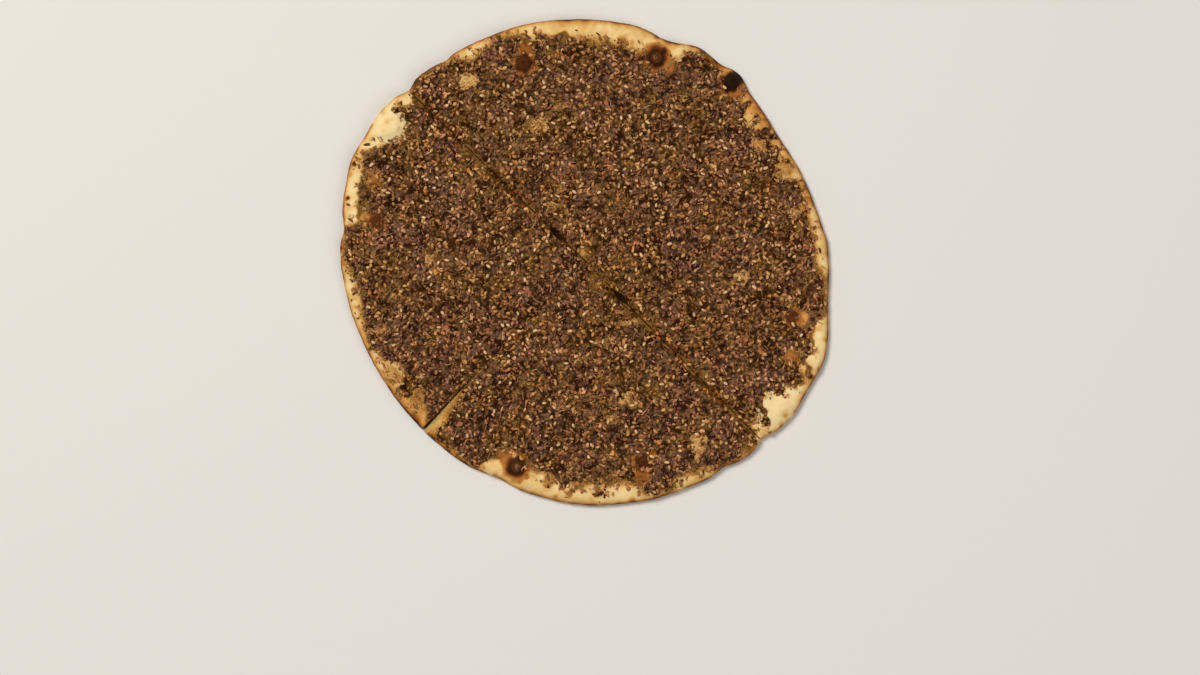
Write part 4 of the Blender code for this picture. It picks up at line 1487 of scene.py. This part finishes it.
sesame = bit_material("toasted_sesame", SEED_COLOURS, 0.6, 0.5, 0.7)
sumac = bit_material("sumac", SUMAC_COLOURS, 0.4, 0.6, 0.5)
stems = bit_material("thyme_stem", STEM_COLOURS, 0.8, 0.6, 0.6)
dry_thyme = leaf_material()
print("bit materials ready")

# %% [markdown]
# ## Scattering the bits
#
# Geometry Nodes do what the baker's hand does. *Distribute Points on Faces* drops points on a bed with
# a least spacing, more of them where the bed's own number says that there is topping. *Instance on
# Points* puts one of the kind's shapes on each, tilted, turned and sized at random, and *Store Named
# Attribute* gives it its tone. The tree ends in *Realize Instances* and *Set Material*, and the result
# is turned into a plain mesh, one piece for each kind.
#
# The bed is a simple sheet at the height of the spread topping. It is only a helper and is removed.

# %% The bed, with the share of bits that each spot gets
BED_STEP = 1.15
SEED_CLEARANCE = 0.5
LEAF_CLEARANCE = -0.2
# The band that stays clear beside a gaping cut, as a multiple of half its gap.
BAND_BESIDE_GAP = 1.5
# How far past the topping's edge strays and crumbs lie, and how far inside the rim they stop.
STRAY_REACH = 10.0
CRUMB_REACH = 7.0
BITS_INSIDE_RIM = 1.8
CRUMBS_INSIDE_RIM = 1.2
ON_BARE_DOUGH = 0.35
# Nothing lies on the few blister tops that are taller than this.
TALLEST_WITH_BITS = 9.6
# Bits lie across the cuts that have nearly closed again, up to this far from the crossing.
BRIDGED = {"upper_right": 999.0, "lower_left": 88.0}
# None lie across a cut nearer to the crossing than this.
BRIDGED_FROM = 6.0


def clear_of_cuts(x, y, clearance):
    """0 beside a cut and 1 a little farther off it than the clearance."""
    near = np.full(np.shape(x), 1.0)
    for cut in CUTS:
        along, off = beside_cut(x, y, cut)
        wall = half_gap(cut, along)
        if cut == LEANING_CUT:
            wall = wall + np.where(off > 0, setback(LEANING_SLICE, cut, along) - wall, 0.0)
        beside = np.hypot(np.minimum(along, 0.0), off) - BAND_BESIDE_GAP * wall - clearance
        bridged = (along < BRIDGED.get(cut, 0.0)) & (along > BRIDGED_FROM)
        near = np.minimum(near, np.where(bridged, 1.0, smooth(beside / 0.8)))
    return near


def make_bed():
    side = np.arange(-REACH, REACH, BED_STEP)
    x, y = (part.ravel() for part in np.meshgrid(side, side))
    angle, far = polar(x, y)
    reach = rim_radius(angle) - far
    inside = cover(x, y)
    # Where there is no paste, the bits lie on the dough and not in it.
    height = topping_height(x, y)[0] + ON_BARE_DOUGH * smooth((PASTE_BACK + 1.0 - inside) / 2.0)
    on_bread = reach > BITS_INSIDE_RIM
    held = smooth((inside + 2.0) / 4.0) * (1 - 0.85 * pits(x, y)) * on_bread
    soak = np.maximum(0.9 * most_of(x, y, OILY_PATCHES), 0.85 * beside_dragged_cuts(x, y))
    held *= 1 - 0.3 * soak
    burnt = sum(blister_cap(x, y, one, 1.2) for one in BLISTERS if one.baked > CHARRED)
    strewn = np.clip(0.45 + 1.5 * bumps(x, y, 5.0, 97), 0.0, 1.0) * on_bread
    strewn *= 1 - np.clip(3 * burnt, 0, 1)
    stray = strewn * smooth((inside + STRAY_REACH) / STRAY_REACH) ** 1.5
    crumbs = np.clip(0.45 + bumps(x, y, 4.0, 98), 0.1, 1.0)
    crumbs *= smooth((inside + CRUMB_REACH) / CRUMB_REACH) ** 2
    dusty = dust(x, y)
    crumbs = np.maximum(crumbs, 0.7 * dusty) * (inside < 2.5) * (reach > CRUMBS_INSIDE_RIM)
    crumbs *= 1 - np.clip(3 * burnt, 0, 0.95)
    low_enough = smooth((TALLEST_WITH_BITS - height) / 0.6)
    for_leaves = low_enough * clear_of_cuts(x, y, LEAF_CLEARANCE)
    for_seeds = low_enough * clear_of_cuts(x, y, SEED_CLEARANCE)
    clustered = np.clip(0.62 + 1.4 * bumps(x, y, 7.0, 96), 0.12, 1.0)
    stray_seeds = np.maximum(stray, 0.5 * dusty * on_bread)
    stray_seeds = np.maximum(stray_seeds, most_of(x, y, WORN_PATCHES))
    shares = {
        "leaves": for_leaves * held,
        "leaves_and_strays": for_leaves * np.maximum(held, np.maximum(stray, 0.45 * dusty * on_bread)),
        "crumbs": for_leaves * crumbs,
        "seeds": for_seeds * np.maximum(held * clustered, 0.6 * stray_seeds),
    }
    count = len(side)
    corner = np.arange(count * (count - 1)).reshape(count - 1, count)[:, :-1].ravel()
    squares = np.stack([corner, corner + 1, corner + count + 1, corner + count], axis=1)
    squares = squares[(far[squares] < REACH - 2).all(axis=1)]
    shares["soak"] = soak
    mesh = bpy.data.meshes.new("bed")
    height = np.where(reach > 0, height, 0.0)
    placed = (np.stack([x, y, height], axis=1) + (*CROSSING, 0.0)) * MM
    mesh.from_pydata(placed.tolist(), [], squares.tolist())
    for label, numbers in shares.items():
        mesh.attributes.new(label, "FLOAT", "POINT").data.foreach_set("value", numbers.astype(np.float32))
    bed = bpy.data.objects.new("bed", mesh)
    bpy.context.scene.collection.objects.link(bed)
    return bed


bed = make_bed()
print("bed has", len(bed.data.polygons), "squares")


# %% The scattering tree
def build_scatter_tree():
    tree = bpy.data.node_groups.new("scatter_bits", "GeometryNodeTree")
    tree.interface.new_socket("Bed", in_out="INPUT", socket_type="NodeSocketGeometry")
    for label, kind in (
        ("Shapes", "Collection"), ("Share", "String"), ("Spacing", "Float"), ("Per Square Metre", "Float"),
        ("Smallest", "Float"), ("Largest", "Float"), ("Tilt", "Float"), ("Lowest", "Float"),
        ("Highest", "Float"), ("Draw", "Int"), ("Finish", "Material"),
    ):
        tree.interface.new_socket(label, in_out="INPUT", socket_type="NodeSocket" + kind)
    tree.interface.new_socket("Bits", in_out="OUTPUT", socket_type="NodeSocketGeometry")
    given = tree.nodes.new("NodeGroupInput").outputs
    share = add(tree, "GeometryNodeInputNamedAttribute", {"Name": given["Share"]}, data_type="FLOAT")
    points = add(
        tree, "GeometryNodeDistributePointsOnFaces",
        {
            "Mesh": given["Bed"], "Distance Min": given["Spacing"], "Density Max": given["Per Square Metre"],
            "Density Factor": share.outputs["Attribute"], "Seed": given["Draw"],
        },
        distribute_method="POISSON",
    )
    least_turn = add(tree, "ShaderNodeCombineXYZ", {
        0: times(tree, given["Tilt"], -1.0), 1: times(tree, given["Tilt"], -1.0), 2: 0.0,
    })
    most_turn = add(tree, "ShaderNodeCombineXYZ", {0: given["Tilt"], 1: given["Tilt"], 2: 2 * math.pi})
    turn = add(
        tree, "FunctionNodeRandomValue",
        {"Min": least_turn.outputs[0], "Max": most_turn.outputs[0], "Seed": given["Draw"]},
        data_type="FLOAT_VECTOR",
    )
    as_rotation = add(tree, "FunctionNodeEulerToRotation", {0: turn.outputs["Value"]})
    lie = add(
        tree, "FunctionNodeRotateRotation",
        {"Rotation": points.outputs["Rotation"], "Rotate By": as_rotation.outputs[0]}, rotation_space="LOCAL",
    )

    def random_number(low, high, step):
        draw = plus(tree, given["Draw"], step)
        node = add(tree, "FunctionNodeRandomValue", {2: low, 3: high, "Seed": draw}, data_type="FLOAT")
        return node.outputs[1]

    shapes = add(
        tree, "GeometryNodeCollectionInfo",
        {"Collection": given["Shapes"], "Separate Children": True, "Reset Children": True},
    )
    pick = add(
        tree, "FunctionNodeRandomValue",
        {4: 0, 5: 99, "Seed": plus(tree, given["Draw"], 1.0)}, data_type="INT",
    )
    laid = add(
        tree, "GeometryNodeInstanceOnPoints",
        {
            "Points": points.outputs["Points"], "Instance": shapes.outputs["Instances"],
            "Pick Instance": True,
            "Instance Index": pick.outputs[2], "Rotation": lie.outputs[0],
            "Scale": random_number(given["Smallest"], given["Largest"], 2.0),
        },
    )
    raised = random_number(given["Lowest"], given["Highest"], 3.0)
    lift = add(tree, "ShaderNodeCombineXYZ", {0: 0.0, 1: 0.0, 2: raised})
    lifted = add(
        tree, "GeometryNodeTranslateInstances",
        {"Instances": laid.outputs[0], "Translation": lift.outputs[0], "Local Space": False},
    )
    toned = add(
        tree, "GeometryNodeStoreNamedAttribute",
        {"Geometry": lifted.outputs[0], "Name": "tone", "Value": random_number(0.0, 1.0, 4.0)},
        data_type="FLOAT", domain="INSTANCE",
    )
    real = add(tree, "GeometryNodeRealizeInstances", {"Geometry": toned.outputs[0]})
    dressing = {"Geometry": real.outputs[0], "Material": given["Finish"]}
    finished = add(tree, "GeometryNodeSetMaterial", dressing)
    result = tree.nodes.new("NodeGroupOutput")
    tree.links.new(finished.outputs[0], result.inputs["Bits"])
    return tree


scatter_tree = build_scatter_tree()
print("scattering tree has", len(scatter_tree.nodes), "nodes")


# %% Scattering one kind into one piece
def scatter(name, shapes, finish, **sizes):
    """Lays one kind of bit over the bed; a socket named Per Square Metre is given as per_square_metre."""
    kind = bpy.data.collections.new(name + "_shapes")
    for shape in shapes:
        kind.objects.link(shape)
    modifier = bed.modifiers.new(name, "NODES")
    modifier.node_group = scatter_tree
    values = {"Shapes": kind, "Finish": finish}
    values.update({label.replace("_", " ").title(): value for label, value in sizes.items()})
    for socket in scatter_tree.interface.items_tree:
        if socket.name in values:
            modifier[socket.identifier] = values[socket.name]
    evaluated = bed.evaluated_get(bpy.context.evaluated_depsgraph_get())
    mesh = bpy.data.meshes.new_from_object(evaluated)
    bed.modifiers.remove(modifier)
    mesh.name = name
    piece = bpy.data.objects.new(name, mesh)
    bpy.context.scene.collection.objects.link(piece)
    bpy.data.collections.remove(kind)
    for shape in shapes:
        bpy.data.objects.remove(shape)
    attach(piece, "root")
    print(name, "has", triangles_in(piece), "triangles")
    return piece


# Name, shapes, finish, share, least spacing, number per square metre, smallest and largest size, tilt
# in radians, lowest and highest lift, and random draw. Spacing and lifts are in millimetres.
KINDS = (
    ("herb_flakes", flake_shapes, dry_thyme, "leaves_and_strays", 1.8, 190e3, 0.6, 1.2, 0.7, -0.45, 0.25, 1),
    ("herb_curls", curl_shapes, dry_thyme, "leaves_and_strays", 2.0, 110e3, 0.75, 1.25, 0.6, -0.2, 0.4, 11),
    ("herb_crumbs", crumb_shapes, dry_thyme, "crumbs", 0.9, 300e3, 0.5, 1.2, 0.6, 0.0, 0.15, 51),
    ("sesame_seeds", seed_shapes, sesame, "seeds", 2.2, 85e3, 0.9, 1.1, 0.5, 0.0, 0.6, 21),
    ("sumac_bits", sumac_shapes, sumac, "leaves", 2.4, 38e3, 0.7, 1.2, 0.6, -0.1, 0.3, 31),
    ("thyme_stems", stem_shapes, stems, "leaves", 7.0, 4e3, 0.7, 1.1, 0.2, 0.35, 0.7, 41),
)
for name, shapes, finish, share, spacing, density, smallest, largest, tilt, lowest, highest, draw in KINDS:
    scatter(
        name, shapes, finish, share=share, spacing=spacing * MM, per_square_metre=density,
        smallest=smallest, largest=largest, tilt=tilt, lowest=lowest * MM, highest=highest * MM, draw=draw,
    )
bpy.data.objects.remove(bed)
